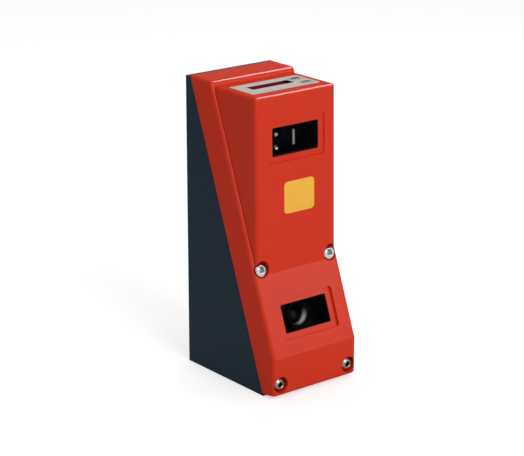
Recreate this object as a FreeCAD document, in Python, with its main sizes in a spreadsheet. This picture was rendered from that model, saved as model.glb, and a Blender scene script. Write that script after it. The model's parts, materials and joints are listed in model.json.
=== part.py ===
import FreeCAD, Part
import math
import os
import re
import Sketcher
from FreeCAD import Placement, Rotation, Vector

# Laser profile sensor: a cast frame and a moulded front cover meet on a sloping parting plane. The head of
# the cover carries the display, the keys and the laser window; the sloping face below carries the camera
# window. Millimetres. X runs across the width, the front looks along -Y, Z is up, and the origin is the
# middle of the base. "Lift" is a distance outside the parting plane, or outside the head's front face.

SIZES = {
    # Housing outline
    "body_width": 56,
    "body_depth": 74,
    "body_height": 160,
    "frame_top_depth": 4.5,
    "cover_foot_depth": 8.8,
    "frame_top_drop": 0.5,
    "cover_foot_lift": 0.3,
    "cover_toe_lift": 1.9,
    "slab_thickness": 16.1,
    "crease_height": 63.3,
    "head_setback": 17.3,
    "head_step": 2.5,
    "head_inset": 1.6,
    "head_root": 12,
    "head_foot": 9,
    "head_round": 1.8,
    "slab_round": 1.8,
    "frame_round": 1,
    # Walls
    "cover_wall": 3,
    "frame_wall": 3.5,
    "rear_wall": 4,
    "frame_floor": 4,
    "frame_roof": 4,
    # Fits
    "fit_gap": 0.1,
    "key_gap": 0.3,
    "overcut": 5,
    "breakout": 1,
    "tip_room": 1,
    "thread_end": 1,
    "tiny_thread_end": 0.5,
    "wall_bite": 0.5,
    # Seal between the frame and the cover
    "seal_edge": 1,
    "seal_width": 1.4,
    "seal_depth": 1,
    "seal_low": 2.2,
    "seal_high_margin": 1.8,
    # Cover screws
    "screw_edge": 5,
    "screw_thread": 4,
    "screw_head": 7.6,
    "screw_head_height": 3.2,
    "screw_socket": 3,
    "screw_socket_depth": 2,
    "screw_play": 0.25,
    "screw_boss": 9.8,
    "boss_end": 2,
    "counterbore_play": 0.6,
    "upper_screw_rise": 3.2,
    "upper_seat_depth": 2.5,
    "upper_screw_length": 22,
    "lower_screw_height": 7.6,
    "lower_seat_depth": 3.9,
    "lower_screw_length": 18,
    # Windows, the same pane in both places
    "window_width": 30.4,
    "window_height": 15.2,
    "recess_width": 38,
    "recess_height": 21.9,
    "receiver_recess_depth": 1.4,
    "transmitter_recess_depth": 0.6,
    "recess_round": 1.5,
    "pane_width": 36,
    "pane_height": 20,
    "pane_thickness": 1.5,
    "pane_seal": 0.4,
    "pane_seal_lip": 0.5,
    "shroud_margin": 1,
    "shroud_wall": 1.2,
    "receiver_slope": 36.8,
    "transmitter_drop": 25,
    "transmitter_shroud": 4.4,
    # Laser side
    "mount_overhang": 0.5,
    "mount_height": 23,
    "laser_x": 5.6,
    "laser_drop": 1.5,
    "module_diameter": 12,
    "module_length": 20,
    "module_setback": 3,
    "module_aperture": 4,
    "diode_flange": 9,
    "diode_flange_thickness": 1.5,
    "diode_can": 4.6,
    "diode_can_length": 3,
    "diode_room": 1,
    "diode_pin": 0.5,
    "diode_pin_pitch": 1.3,
    "diode_pin_length": 4,
    "line_lens_diameter": 3.2,
    "line_lens_length": 8,
    "line_lens_slot": 2.1,
    "clip_thickness": 1,
    "clip_height": 12,
    "clip_left": 11,
    "clip_screw_x": 7.4,
    "clip_screw_spread": 3.5,
    "clip_thread_depth": 5,
    "mount_screw_inset": 4,
    "mount_thread_depth": 6,
    # Optics carrier
    "carrier_drop": 2,
    "carrier_thickness": 3,
    "carrier_side_gap": 10.5,
    "carrier_low": 20,
    "carrier_top_gap": 14,
    "carrier_ear_gap": 0.5,
    "carrier_ear_height": 9,
    "carrier_ear_rise": 17.4,
    "carrier_ear_inset": 8,
    "carrier_screw_inset": 3,
    "carrier_boss_depth": 6,
    # Camera side
    "barrel_front": 8,
    "barrel_hood": 14,
    "barrel_mouth": 12,
    "barrel_thread": 12,
    "barrel_tail": 9,
    "barrel_bore": 8,
    "lens_diameter": 9,
    "lens_seat": 1.5,
    "lens_edge": 2,
    "lens_bulge_height": 0.8,
    "lock_ring_diameter": 15.2,
    "holder_tube": 18,
    "holder_bore": 14,
    "filter_gap": 1,
    "chip_room": 5,
    "holder_flange_width": 32,
    "holder_flange_height": 24,
    "holder_flange": 3,
    "holder_screw_inset": 3,
    "board_flange_width": 29,
    "board_flange_height": 22,
    "filter_thickness": 1,
    "chip_width": 10,
    "chip_height": 8,
    "chip_thickness": 1.2,
    "camera_board_width": 30,
    "camera_board_height": 26,
    "camera_screw_inset": 2.7,
    "board_thickness": 1.6,
    # Small screws inside
    "small_thread": 2.5,
    "small_head": 4.5,
    "small_head_height": 1.6,
    "tiny_thread": 1.6,
    "tiny_head": 3,
    "tiny_head_height": 1,
    # Main board
    "main_board_width": 43,
    "main_board_low": 20,
    "main_board_gap": 3.2,
    "board_standoff": 7.4,
    "standoff_diameter": 6,
    "standoff_inset": 3.5,
    "processor_size": 15,
    "processor_height": 1.6,
    "processor_level": 50,
    # Rear fastening
    "groove_mouth": 20,
    "groove_flare": 3,
    "groove_depth": 4,
    "groove_length": 70,
    "rear_hole_edge": 7,
    "rear_hole_low": 14,
    "rear_hole_pitch": 50,
    "rear_hole_core": 3.3,
    "rear_hole_depth": 8,
    "rear_boss": 8.5,
    # Cable ports on the rear
    "port_x": 11.5,
    "port_rise": 16,
    "port_row_pitch": 18,
    "port_hole": 15,
    "port_neck": 14.6,
    "port_neck_length": 10,
    "port_flange": 17,
    "port_flange_thickness": 3,
    "port_reach": 12,
    "port_seal": 0.8,
    "port_seal_inset": 0.3,
    "port_nut": 17.4,
    "port_nut_thickness": 3,
    "port_thread": 12,
    "port_core": 10.9,
    "port_bore": 8.8,
    "port_insert": 8.6,
    "socket_shell": 15.2,
    "socket_recess": 0.5,
    "pin_circle": 5.5,
    "pin_diameter": 1,
    "pin_reach": 9.5,
    "contact_hole": 1.2,
    "contact_depth": 7,
    # Display and keys on the top of the head
    "overlay_edge": 4.3,
    "overlay_depth": 20,
    "overlay_front_edge": 6.7,
    "overlay_round": 1,
    "overlay_thickness": 0.5,
    "display_margin": 6.4,
    "display_key_gap": 2,
    "display_rise": 6.2,
    "display_depth": 6.2,
    "module_margin": 0.7,
    "module_depth": 9.6,
    "module_height": 1.5,
    "key_edge": 5.3,
    "enter_key_edge": 5.1,
    "key_pitch": 9,
    "key_width": 6.4,
    "key_depth": 4.4,
    "key_proud": 0.3,
    "key_rim": 0.9,
    "key_rim_thickness": 0.8,
    "key_travel": 0.4,
    "dome_diameter": 5.4,
    "dome_height": 0.9,
    "dome_slope": 45,
    "display_board_gap": 1.1,
    "display_board_depth": 26,
    "post_diameter": 4,
    "post_inset": 2.2,
    "post_thread_rise": 1.5,
}

# Places that follow from the sizes
DERIVED = {
    "front": "-body_depth / 2",
    "rear": "body_depth / 2",
    "inner_rear": "rear - rear_wall",
    "frame_top": "body_height - frame_top_drop",
    "head_top": "body_height - head_step",
    "head_ceiling": "head_top - cover_wall",
    "rise": "(body_depth - frame_top_depth - cover_foot_depth) / body_height",
    "foot_y": "cover_foot_depth - body_depth / 2",
    "crease_y": "foot_y - slab_thickness / cos(tilt) + crease_height * rise",
    "crease_slope": "(crease_height - slab_thickness * sin(tilt)) / cos(tilt)",
    "head_width": "body_width - 2 * head_inset",
    "head_front": "front + head_setback",
    "screw_x": "body_width / 2 - screw_edge",
    "upper_screw_slope": "crease_slope + upper_screw_rise",
    "upper_seat": "slab_thickness - upper_seat_depth",
    "upper_thread_depth": "upper_screw_length - upper_seat + tip_room",
    "lower_thread_depth": "lower_seat_depth + lower_screw_length + tip_room",
    "lower_boss_depth": "lower_thread_depth + boss_end",
    "pane_depth": "cover_wall + pane_seal + pane_thickness",
    "receiver_pane": "slab_thickness - pane_depth",
    "transmitter_rise": "(head_top - crease_height) / cos(lean) - transmitter_drop",
    "laser_rise": "transmitter_rise - laser_drop",
    "mount_depth": "pane_depth + transmitter_shroud",
    "mount_slope": "(crease_height + transmitter_rise) / cos(tilt)",
    "carrier_width": "body_width - 2 * carrier_side_gap",
    "mount_width": "carrier_width + 2 * mount_overhang",
    "mount_screw_x": "mount_width / 2 - mount_screw_inset",
    "carrier_back": "-carrier_drop - carrier_thickness",
    "carrier_high": "frame_top / cos(tilt) - carrier_top_gap",
    "carrier_ear_low": "upper_screw_slope + carrier_ear_rise",
    "carrier_ear_high": "carrier_high - carrier_ear_inset",
    "carrier_ear_span": "body_width - 2 * frame_wall - 2 * carrier_ear_gap",
    "carrier_screw_x": "carrier_ear_span / 2 - carrier_screw_inset",
    "holder_thread_end": "barrel_tail + filter_gap",
    "holder_end": "holder_thread_end + filter_thickness + chip_room",
    "holder_screw_x": "holder_flange_width / 2 - holder_screw_inset",
    "camera_screw_x": "board_flange_width / 2 - camera_screw_inset",
    "board_face": "inner_rear - board_standoff",
    "main_board_front": "board_face - board_thickness - main_board_gap",
    "main_board_high": "(main_board_front - foot_y + carrier_back / cos(tilt)) / rise",
    "standoff_x": "main_board_width / 2 - standoff_inset",
    "standoff_low": "main_board_low + standoff_inset",
    "standoff_high": "main_board_high - standoff_inset",
    "rear_hole_x": "body_width / 2 - rear_hole_edge",
    "rear_hole_high": "rear_hole_low + rear_hole_pitch",
    "port_low": "groove_length + port_rise",
    "port_high": "port_low + port_row_pitch",
    "overlay_width": "head_width - 2 * overlay_edge",
    "overlay_y": "head_front + overlay_front_edge + overlay_depth / 2",
    "key_x": "overlay_width / 2 - key_edge",
    "enter_key_y": "head_front + overlay_front_edge + enter_key_edge",
    "menu_key_y": "enter_key_y + key_pitch",
    "display_left": "display_margin - overlay_width / 2",
    "display_right": "key_x - key_width / 2 - key_gap - display_key_gap",
    "display_x": "(display_left + display_right) / 2",
    "display_y": "enter_key_y + display_rise",
    "display_width": "display_right - display_left",
    "post_length": "key_rim_thickness + key_travel + dome_height + fit_gap",
    "display_board_top": "head_ceiling - post_length",
    "display_board_width": "head_width - 2 * cover_wall - 2 * display_board_gap",
    "display_board_front": "head_front + cover_wall + display_board_gap",
    "post_x": "display_board_width / 2 - post_inset",
    "post_front": "display_board_front + post_inset",
    "post_rear": "display_board_front + display_board_depth - post_inset",
}
ANGLES = {
    "tilt": "atan(rise)",
    "lean": "atan((head_front - crease_y) / (head_top - crease_height))",
}

doc = FreeCAD.newDocument("laser_profile_sensor")
sheet = doc.addObject("Spreadsheet::Sheet", "Sizes")
for row, (name, number) in enumerate(SIZES.items(), start=1):
    sheet.set(f"A{row}", name)
    sheet.set(f"B{row}", str(number))
    sheet.setAlias(f"B{row}", name)


def bind(text):
    """Puts the name of its holder before every size that a formula names."""
    def held(match):
        word = match.group(0)
        if word in SIZES:
            return "Sizes." + word
        if word in DERIVED or word in ANGLES:
            return "Derived." + word
        return word
    return re.sub(r"[a-z_]+", held, text)


derived = doc.addObject("App::VarSet", "Derived")
for name in DERIVED:
    derived.addProperty("App::PropertyFloat", name)
for name in ANGLES:
    derived.addProperty("App::PropertyAngle", name)
doc.recompute()
for name, formula in {**DERIVED, **ANGLES}.items():
    derived.setExpression(name, bind(formula))
doc.recompute()


def value(text):
    """The number that a formula gives with the present sizes."""
    result = sheet.evalExpression(bind(text))
    return getattr(result, "Value", result)


def sloped_y(height, lift):
    """Formula for the y of the plane that lies lift outside the parting plane, at a height."""
    return f"(foot_y - ({lift}) / cos(tilt) + ({height}) * rise)"


def sloped_z(depth, lift):
    """Formula for the height at which the plane lift outside the parting plane has the y depth."""
    return f"((({depth}) - foot_y + ({lift}) / cos(tilt)) / rise)"


def head_y(height, lift):
    """Formula for the y of the plane that lies lift outside the head's front face, at a height."""
    return f"(crease_y + (({height}) - crease_height) * tan(lean) - ({lift}) / cos(lean))"


# A frame is where the local origin lies and the angle by which the piece leans back about X
UPRIGHT = ("0", "0", "0", None)
SLOPE = ("0", "foot_y", "0", "tilt")
HEAD = ("0", "crease_y", "crease_height", "lean")


def start(label, frame=UPRIGHT):
    """A new body that stands in the given frame."""
    piece = doc.addObject("PartDesign::Body", label)
    piece.Label = label
    *base, turn = frame
    if turn:
        piece.Placement = Placement(Vector(), Rotation(Vector(-1, 0, 0), 1))
        piece.setExpression("Placement.Rotation.Angle", bind(turn))
    for axis, text in zip("xyz", base):
        piece.setExpression(f"Placement.Base.{axis}", bind(text))
    return piece


def sketch(piece, name, plane, x="0", y="0", z="0", turn=None):
    """A sketch on one of the body's own planes, moved along that plane's axes and leant back about its x."""
    profile = piece.newObject("Sketcher::SketchObject", name + "_sketch")
    support = next(item for item in piece.Origin.OriginFeatures if item.Role == plane + "_Plane")
    profile.AttachmentSupport = [(support, "")]
    profile.MapMode = "FlatFace"
    if turn:
        profile.AttachmentOffset = Placement(Vector(), Rotation(Vector(-1, 0, 0), 1))
        profile.setExpression("AttachmentOffset.Rotation.Angle", bind(turn))
    for axis, text in zip("xyz", (x, y, z)):
        profile.setExpression(f"AttachmentOffset.Base.{axis}", bind(text))
    return profile


def sloped_sketch(piece, name, lift):
    """A sketch on the plane that lies lift outside the parting plane."""
    height = f"({lift}) * sin(tilt)"
    depth = f"({lift}) * cos(tilt) - foot_y"
    return sketch(piece, name, "XZ", y=height, z=depth, turn="tilt")


def head_sketch(piece, name, lift):
    """A sketch on the plane that lies lift outside the head's front face, measured from the crease."""
    height = f"crease_height + ({lift}) * sin(lean)"
    depth = f"({lift}) * cos(lean) - crease_y"
    return sketch(piece, name, "XZ", y=height, z=depth, turn="lean")


def limit(profile, constraint, text):
    """Adds a constraint whose number follows a formula."""
    number = profile.addConstraint(constraint)
    profile.setExpression(f"Constraints[{number}]", bind(text))


def pin(profile, element, end, x, y):
    """Places a point of a sketch element from the sketch's origin."""
    limit(profile, Sketcher.Constraint("DistanceX", -1, 1, element, end, value(x)), x)
    limit(profile, Sketcher.Constraint("DistanceY", -1, 1, element, end, value(y)), y)


def at(spot):
    """The point that a pair of formulas gives."""
    return Vector(value(spot[0]), value(spot[1]), 0)


def outline(profile, spots):
    """Closes straight lines through the spots."""
    first = profile.GeometryCount
    count = len(spots)
    for index in range(count):
        profile.addGeometry(Part.LineSegment(at(spots[index]), at(spots[(index + 1) % count])))
    for index in range(count):
        following = first + (index + 1) % count
        profile.addConstraint(Sketcher.Constraint("Coincident", first + index, 2, following, 1))
        pin(profile, first + index, 1, *spots[index])


def rectangle(profile, x, y, width, height):
    """A rectangle about a middle point."""
    left = f"({x}) - ({width}) / 2"
    right = f"({x}) + ({width}) / 2"
    low = f"({y}) - ({height}) / 2"
    high = f"({y}) + ({height}) / 2"
    outline(profile, [(left, low), (right, low), (right, high), (left, high)])


def rounded_rectangle(profile, x, y, width, height, radius):
    """A rectangle about a middle point whose corners are arcs."""
    left = f"({x}) - ({width}) / 2"
    right = f"({x}) + ({width}) / 2"
    low = f"({y}) - ({height}) / 2"
    high = f"({y}) + ({height}) / 2"
    sides = [
        ((f"{left} + {radius}", low), (f"{right} - {radius}", low)),
        ((right, f"{low} + {radius}"), (right, f"{high} - {radius}")),
        ((f"{right} - {radius}", high), (f"{left} + {radius}", high)),
        ((left, f"{high} - {radius}"), (left, f"{low} + {radius}")),
    ]
    middles = [(side[1][0] if index % 2 == 0 else sides[(index + 1) % 4][0][0],
                sides[(index + 1) % 4][0][1] if index % 2 == 0 else side[1][1])
               for index, side in enumerate(sides)]
    lines = []
    for begin, end in sides:
        line = profile.addGeometry(Part.LineSegment(at(begin), at(end)))
        pin(profile, line, 1, *begin)
        pin(profile, line, 2, *end)
        lines.append(line)
    quarter = math.pi / 2
    for index, middle in enumerate(middles):
        circle = Part.Circle(at(middle), Vector(0, 0, 1), value(radius))
        arc = profile.addGeometry(Part.ArcOfCircle(circle, (index - 1) * quarter, index * quarter))
        profile.addConstraint(Sketcher.Constraint("Coincident", lines[index], 2, arc, 1))
        profile.addConstraint(Sketcher.Constraint("Coincident", arc, 2, lines[(index + 1) % 4], 1))
        limit(profile, Sketcher.Constraint("Radius", arc, value(radius)), radius)


def circles(profile, spots, diameter):
    """One circle about each spot."""
    for spot in spots:
        round_line = profile.addGeometry(Part.Circle(at(spot), Vector(0, 0, 1), value(diameter) / 2))
        pin(profile, round_line, 3, *spot)
        limit(profile, Sketcher.Constraint("Diameter", round_line, value(diameter)), diameter)


def hexagons(profile, spots, across):
    """One hexagon about each spot, its flats to the left and right."""
    for x, y in spots:
        flat = f"({across}) / 2"
        corner = f"({across}) / sqrt(3)"
        outline(profile, [
            (f"({x}) + {flat}", f"({y}) - {corner} / 2"), (f"({x}) + {flat}", f"({y}) + {corner} / 2"),
            (x, f"({y}) + {corner}"), (f"({x}) - {flat}", f"({y}) + {corner} / 2"),
            (f"({x}) - {flat}", f"({y}) - {corner} / 2"), (x, f"({y}) - {corner}"),
        ])


def pairs(x, *heights):
    """Spots to the right and left of the middle at each height."""
    return [(sign + f"({x})", height) for height in heights for sign in ("", "-")]


def extrude(kind, piece, profile, length, both, back):
    """A pad or pocket of a sketch; back turns it against its usual direction."""
    before = 0 if piece.Shape.isNull() else piece.Shape.Volume
    feature = piece.newObject("PartDesign::" + kind, profile.Name.replace("_sketch", ""))
    feature.Profile = profile
    feature.setExpression("Length", bind(length))
    feature.SideType = "Symmetric" if both else "One side"
    feature.Reversed = back
    doc.recompute()
    change = piece.Shape.Volume - before
    if (change if kind == "Pad" else -change) < 1e-6:
        raise RuntimeError(f"{feature.Name} of {piece.Label} changes nothing")
    return feature


def pad(piece, profile, length, both=False, back=False):
    """Material along the sketch's normal."""
    return extrude("Pad", piece, profile, length, both, back)


def cut(piece, profile, length, both=False, back=False):
    """A pocket against the sketch's normal."""
    return extrude("Pocket", piece, profile, length, both, back)


def revolve(piece, profile):
    """A full turn of a sketch about its own horizontal axis."""
    feature = piece.newObject("PartDesign::Revolution", profile.Name.replace("_sketch", ""))
    feature.Profile = profile
    feature.ReferenceAxis = (profile, ["H_Axis"])
    feature.Angle = 360
    doc.recompute()
    return feature


def fillet(piece, name, radius, wanted):
    """Rounds the edges whose middle passes the test."""
    solid = piece.Tip
    chosen = [f"Edge{number}" for number, edge in enumerate(solid.Shape.Edges, start=1)
              if wanted(edge.CenterOfMass)]
    feature = piece.newObject("PartDesign::Fillet", name)
    feature.Base = (solid, chosen)
    feature.setExpression("Radius", bind(radius))
    doc.recompute()
    return feature


def near(number, text):
    """Whether a number equals what a formula gives."""
    return abs(number - value(text)) < 1e-4


def screws(label, frame, plane, spots, seat, thread, head, head_height, length, down=False):
    """Cheese-head screws with a hexagon socket; the heads stand on the seat, or hang from it when down."""
    piece = start(label, frame)
    heads = sketch(piece, label + "_heads", plane, z=seat)
    circles(heads, spots, head)
    pad(piece, heads, head_height, back=down)
    shanks = sketch(piece, label + "_shanks", plane, z=seat)
    circles(shanks, spots, thread)
    pad(piece, shanks, length, back=not down)
    top = f"({seat}) - ({head_height})" if down else f"({seat}) + ({head_height})"
    sockets = sketch(piece, label + "_sockets", plane, z=top)
    hexagons(sockets, spots, f"({head}) * screw_socket / screw_head")
    cut(piece, sockets, f"({head_height}) * screw_socket_depth / screw_head_height", back=down)
    return piece


UPPER_SPOTS = pairs("screw_x", "upper_screw_slope")
LOWER_SPOTS = pairs("screw_x", "lower_screw_height")
CARRIER_SPOTS = pairs("carrier_screw_x", "carrier_ear_low", "carrier_ear_high")
MOUNT_SPOTS = pairs("mount_screw_x", "mount_slope")
HOLDER_SPOTS = pairs("holder_screw_x", "receiver_slope")
CAMERA_SPOTS = pairs("camera_screw_x", "receiver_slope")
CLIP_SPOTS = [("-clip_screw_x", "laser_rise + clip_screw_spread"),
              ("-clip_screw_x", "laser_rise - clip_screw_spread")]
BOARD_SPOTS = pairs("standoff_x", "standoff_low", "standoff_high")
POST_SPOTS = pairs("post_x", "post_front", "post_rear")
REAR_SPOTS = pairs("rear_hole_x", "rear_hole_low", "rear_hole_high")
PORT_SPOTS = [("0", "port_high"), ("-port_x", "port_low"), ("port_x", "port_low")]
KEYS = {"menu_key": "menu_key_y", "enter_key": "enter_key_y"}

# Rear frame: a wedge, hollowed from the parting plane
frame = start("rear_frame")
wedge = sketch(frame, "wedge", "YZ")
outline(wedge, [
    ("rear", "0"), ("rear", "frame_top"),
    (sloped_y("frame_top", "0"), "frame_top"), ("foot_y", "0"),
])
pad(frame, wedge, "body_width", both=True)
fillet(frame, "rear_edges", "frame_round", lambda middle: near(middle.y, "rear"))
hollow = sketch(frame, "frame_hollow", "YZ")
outline(hollow, [
    ("inner_rear", "frame_floor"), ("inner_rear", "frame_top - frame_roof"),
    (sloped_y("frame_top - frame_roof", "overcut"), "frame_top - frame_roof"),
    (sloped_y("frame_floor", "overcut"), "frame_floor"),
])
cut(frame, hollow, "body_width - 2 * frame_wall", both=True)
groove_back = sketch(frame, "groove_back", "XZ", z="-inner_rear")
rectangle(groove_back, "0", "(groove_length + rear_wall) / 2",
          "groove_mouth + 2 * groove_flare + 2 * rear_wall", "groove_length + rear_wall")
pad(frame, groove_back, "groove_depth")
rear_bosses = sketch(frame, "rear_bosses", "XZ", z="-inner_rear")
circles(rear_bosses, REAR_SPOTS, "rear_boss")
pad(frame, rear_bosses, "rear_hole_depth + boss_end - rear_wall")
standoffs = sketch(frame, "standoffs", "XZ", z="-inner_rear")
circles(standoffs, BOARD_SPOTS, "standoff_diameter")
pad(frame, standoffs, "board_standoff")
carrier_bosses = sloped_sketch(frame, "carrier_bosses", "carrier_back")
for x, level in CARRIER_SPOTS:
    rectangle(carrier_bosses, x, level, "2 * (carrier_screw_inset + carrier_ear_gap + wall_bite)",
              "carrier_ear_height")
pad(frame, carrier_bosses, "carrier_boss_depth", back=True)
upper_bosses = sloped_sketch(frame, "upper_frame_bosses", "0")
circles(upper_bosses, UPPER_SPOTS, "screw_boss")
pad(frame, upper_bosses, "upper_thread_depth + boss_end", back=True)
lower_bosses = sketch(frame, "lower_frame_bosses", "XZ", z="-front - lower_boss_depth")
circles(lower_bosses, LOWER_SPOTS, "screw_boss")
pad(frame, lower_bosses, "lower_boss_depth - cover_wall")
facing = sketch(frame, "frame_facing", "YZ")
outline(facing, [
    (sloped_y("-overcut", "0"), "-overcut"),
    (sloped_y("body_height + overcut", "0"), "body_height + overcut"),
    (sloped_y("body_height + overcut", "body_depth"), "body_height + overcut"),
    (sloped_y("-overcut", "body_depth"), "-overcut"),
])
cut(frame, facing, "body_width + 2 * overcut", both=True)
upper_threads = sloped_sketch(frame, "upper_threads", "0")
circles(upper_threads, UPPER_SPOTS, "screw_thread + 2 * fit_gap")
cut(frame, upper_threads, "upper_thread_depth")
lower_threads = sketch(frame, "lower_threads", "XZ", z="-front")
circles(lower_threads, LOWER_SPOTS, "screw_thread + 2 * fit_gap")
cut(frame, lower_threads, "lower_thread_depth")
carrier_threads = sloped_sketch(frame, "carrier_threads", "carrier_back")
circles(carrier_threads, CARRIER_SPOTS, "small_thread + 2 * fit_gap")
cut(frame, carrier_threads, "carrier_boss_depth - thread_end")
board_threads = sketch(frame, "board_threads", "XZ", z="-board_face")
circles(board_threads, BOARD_SPOTS, "small_thread + 2 * fit_gap")
cut(frame, board_threads, "board_standoff - thread_end")
rear_holes = sketch(frame, "rear_holes", "XZ", z="-rear")
circles(rear_holes, REAR_SPOTS, "rear_hole_core")
cut(frame, rear_holes, "rear_hole_depth", back=True)
port_holes = sketch(frame, "port_holes", "XZ", z="-rear")
circles(port_holes, PORT_SPOTS, "port_hole")
cut(frame, port_holes, "rear_wall + breakout", back=True)
groove = sketch(frame, "groove", "XY", z="-overcut")
outline(groove, [
    ("-groove_mouth / 2", "rear + overcut"), ("-groove_mouth / 2", "rear"),
    ("-groove_mouth / 2 - groove_flare", "rear - groove_depth"),
    ("groove_mouth / 2 + groove_flare", "rear - groove_depth"),
    ("groove_mouth / 2", "rear"), ("groove_mouth / 2", "rear + overcut"),
])
cut(frame, groove, "groove_length + overcut", back=True)


def seal_ring(profile):
    """The path of the cover seal: a rectangular ring in the rim of the frame."""
    high = "frame_top / cos(tilt) - seal_high_margin"
    for inward in ("0", "seal_width"):
        rectangle(profile, "0", f"({high} + seal_low) / 2",
                  f"body_width - 2 * seal_edge - 2 * {inward}", f"{high} - seal_low - 2 * {inward}")


seal_groove = sloped_sketch(frame, "seal_groove", "0")
seal_ring(seal_groove)
cut(frame, seal_groove, "seal_depth")

cover_seal = start("cover_seal", SLOPE)
seal_body = sketch(cover_seal, "seal_body", "XZ", z="-seal_depth")
seal_ring(seal_body)
pad(cover_seal, seal_body, "seal_depth")

# Front cover: a sloping slab with a chin, and a head grown out of it
head = start("cover_head")
head_block = sketch(head, "head_block", "YZ")
outline(head_block, [
    (head_y("crease_height - head_root", "0"), "crease_height - head_root"), ("head_front", "head_top"),
    (sloped_y("head_top", "slab_thickness / 2"), "head_top"),
    (sloped_y("crease_height - head_root", "slab_thickness / 2"), "crease_height - head_root"),
])
pad(head, head_block, "head_width", both=True)


def on_head_edge(middle):
    """Whether the middle of an edge lies on the head's front face or along the sides of its top."""
    front_face = near(middle.y - value(head_y(str(middle.z), "0")), "0")
    foot = near(middle.z, "crease_height - head_root")
    top_side = near(middle.z, "head_top") and not near(middle.x, "0")
    return top_side or front_face and not foot


fillet(head, "head_edges", "head_round", on_head_edge)

cover = start("front_cover")
slab = sketch(cover, "slab", "YZ")
outline(slab, [
    (sloped_y("cover_foot_lift", "0"), "cover_foot_lift"), ("front", "cover_toe_lift"),
    ("front", sloped_z("front", "slab_thickness")),
    (sloped_y("body_height", "slab_thickness"), "body_height"),
    (sloped_y("body_height", "0"), "body_height"),
])
pad(cover, slab, "body_width", both=True)


def on_slab_edge(middle):
    """Whether the middle of an edge lies clear of the parting plane and of the crease over the chin."""
    parting = near(middle.y - value(sloped_y(str(middle.z), "0")), "0")
    crease = near(middle.y, "front") and near(middle.z, sloped_z("front", "slab_thickness"))
    return not parting and not crease


fillet(cover, "slab_edges", "slab_round", on_slab_edge)
joined = cover.newObject("PartDesign::Boolean", "head_joined")
joined.setObjects([head])
joined.Type = "Fuse"
doc.recompute()
slab_hollow = sketch(cover, "slab_hollow", "YZ")
slab_low = "cover_toe_lift + cover_wall"
slab_high = "body_height - cover_wall"
slab_inside = "slab_thickness - cover_wall"
outline(slab_hollow, [
    (sloped_y(slab_low, "-overcut"), slab_low), ("front + cover_wall", slab_low),
    ("front + cover_wall", sloped_z("front + cover_wall", slab_inside)),
    (sloped_y(slab_high, slab_inside), slab_high), (sloped_y(slab_high, "-overcut"), slab_high),
])
cut(cover, slab_hollow, "body_width - 2 * cover_wall", both=True)
head_hollow = sketch(cover, "head_hollow", "YZ")
head_low = "crease_height + head_foot"
head_inside = f"{slab_inside} - breakout"
outline(head_hollow, [
    (head_y(head_low, "-cover_wall"), head_low), (head_y("head_ceiling", "-cover_wall"), "head_ceiling"),
    (sloped_y("head_ceiling", head_inside), "head_ceiling"), (sloped_y(head_low, head_inside), head_low),
])
cut(cover, head_hollow, "head_width - 2 * cover_wall", both=True)
upper_sleeves = sloped_sketch(cover, "upper_sleeves", "0")
circles(upper_sleeves, UPPER_SPOTS, "screw_boss")
pad(cover, upper_sleeves, "slab_thickness - cover_wall / 2")
lower_sleeves = sketch(cover, "lower_sleeves", "XZ", z="-front - cover_wall / 2")
circles(lower_sleeves, LOWER_SPOTS, "screw_boss")
pad(cover, lower_sleeves, "cover_foot_depth + overcut", back=True)
posts = sketch(cover, "display_posts", "XY", z="head_ceiling")
circles(posts, POST_SPOTS, "post_diameter")
pad(cover, posts, "post_length", back=True)
cover_facing = sketch(cover, "cover_facing", "YZ")
outline(cover_facing, [
    (sloped_y("-overcut", "0"), "-overcut"),
    (sloped_y("body_height + overcut", "0"), "body_height + overcut"),
    (sloped_y("body_height + overcut", "-body_depth"), "body_height + overcut"),
    (sloped_y("-overcut", "-body_depth"), "-overcut"),
])
cut(cover, cover_facing, "body_width + 2 * overcut", both=True)
upper_counterbores = sloped_sketch(cover, "upper_counterbores", "slab_thickness + overcut")
circles(upper_counterbores, UPPER_SPOTS, "screw_head + 2 * counterbore_play")
cut(cover, upper_counterbores, "slab_thickness + overcut - upper_seat")
upper_holes = sloped_sketch(cover, "upper_holes", "slab_thickness")
circles(upper_holes, UPPER_SPOTS, "screw_thread + 2 * screw_play")
cut(cover, upper_holes, "slab_thickness + overcut")
lower_counterbores = sketch(cover, "lower_counterbores", "XZ", z="overcut - front")
circles(lower_counterbores, LOWER_SPOTS, "screw_head + 2 * counterbore_play")
cut(cover, lower_counterbores, "overcut + lower_seat_depth")
lower_holes = sketch(cover, "lower_holes", "XZ", z="-front")
circles(lower_holes, LOWER_SPOTS, "screw_thread + 2 * screw_play")
cut(cover, lower_holes, "lower_boss_depth")
for side, drawn, surface, level in (("receiver", sloped_sketch, "slab_thickness", "receiver_slope"),
                                    ("transmitter", head_sketch, "0", "transmitter_rise")):
    recess = drawn(cover, side + "_recess", f"{surface} + breakout")
    rounded_rectangle(recess, "0", level, "recess_width", "recess_height", "recess_round")
    cut(cover, recess, f"{side}_recess_depth + breakout")
    opening = drawn(cover, side + "_opening", f"{surface} + breakout")
    rounded_rectangle(opening, "0", level, "window_width", "window_height", "recess_round / 2")
    cut(cover, opening, "cover_wall + 2 * breakout")
overlay_recess = sketch(cover, "overlay_recess", "XY", z="head_top + breakout")
rounded_rectangle(overlay_recess, "0", "overlay_y", "overlay_width + 2 * fit_gap",
                  "overlay_depth + 2 * fit_gap", "overlay_round")
cut(cover, overlay_recess, "overlay_thickness + breakout")
display_opening = sketch(cover, "display_opening", "XY", z="head_top")
rectangle(display_opening, "display_x", "display_y", "display_width + 2 * fit_gap",
          "display_depth + 2 * fit_gap")
cut(cover, display_opening, "cover_wall + breakout")
key_holes = sketch(cover, "key_holes", "XY", z="head_top")
for level in KEYS.values():
    rectangle(key_holes, "key_x", level, "key_width + 2 * key_gap", "key_depth + 2 * key_gap")
cut(cover, key_holes, "cover_wall + breakout")
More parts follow.
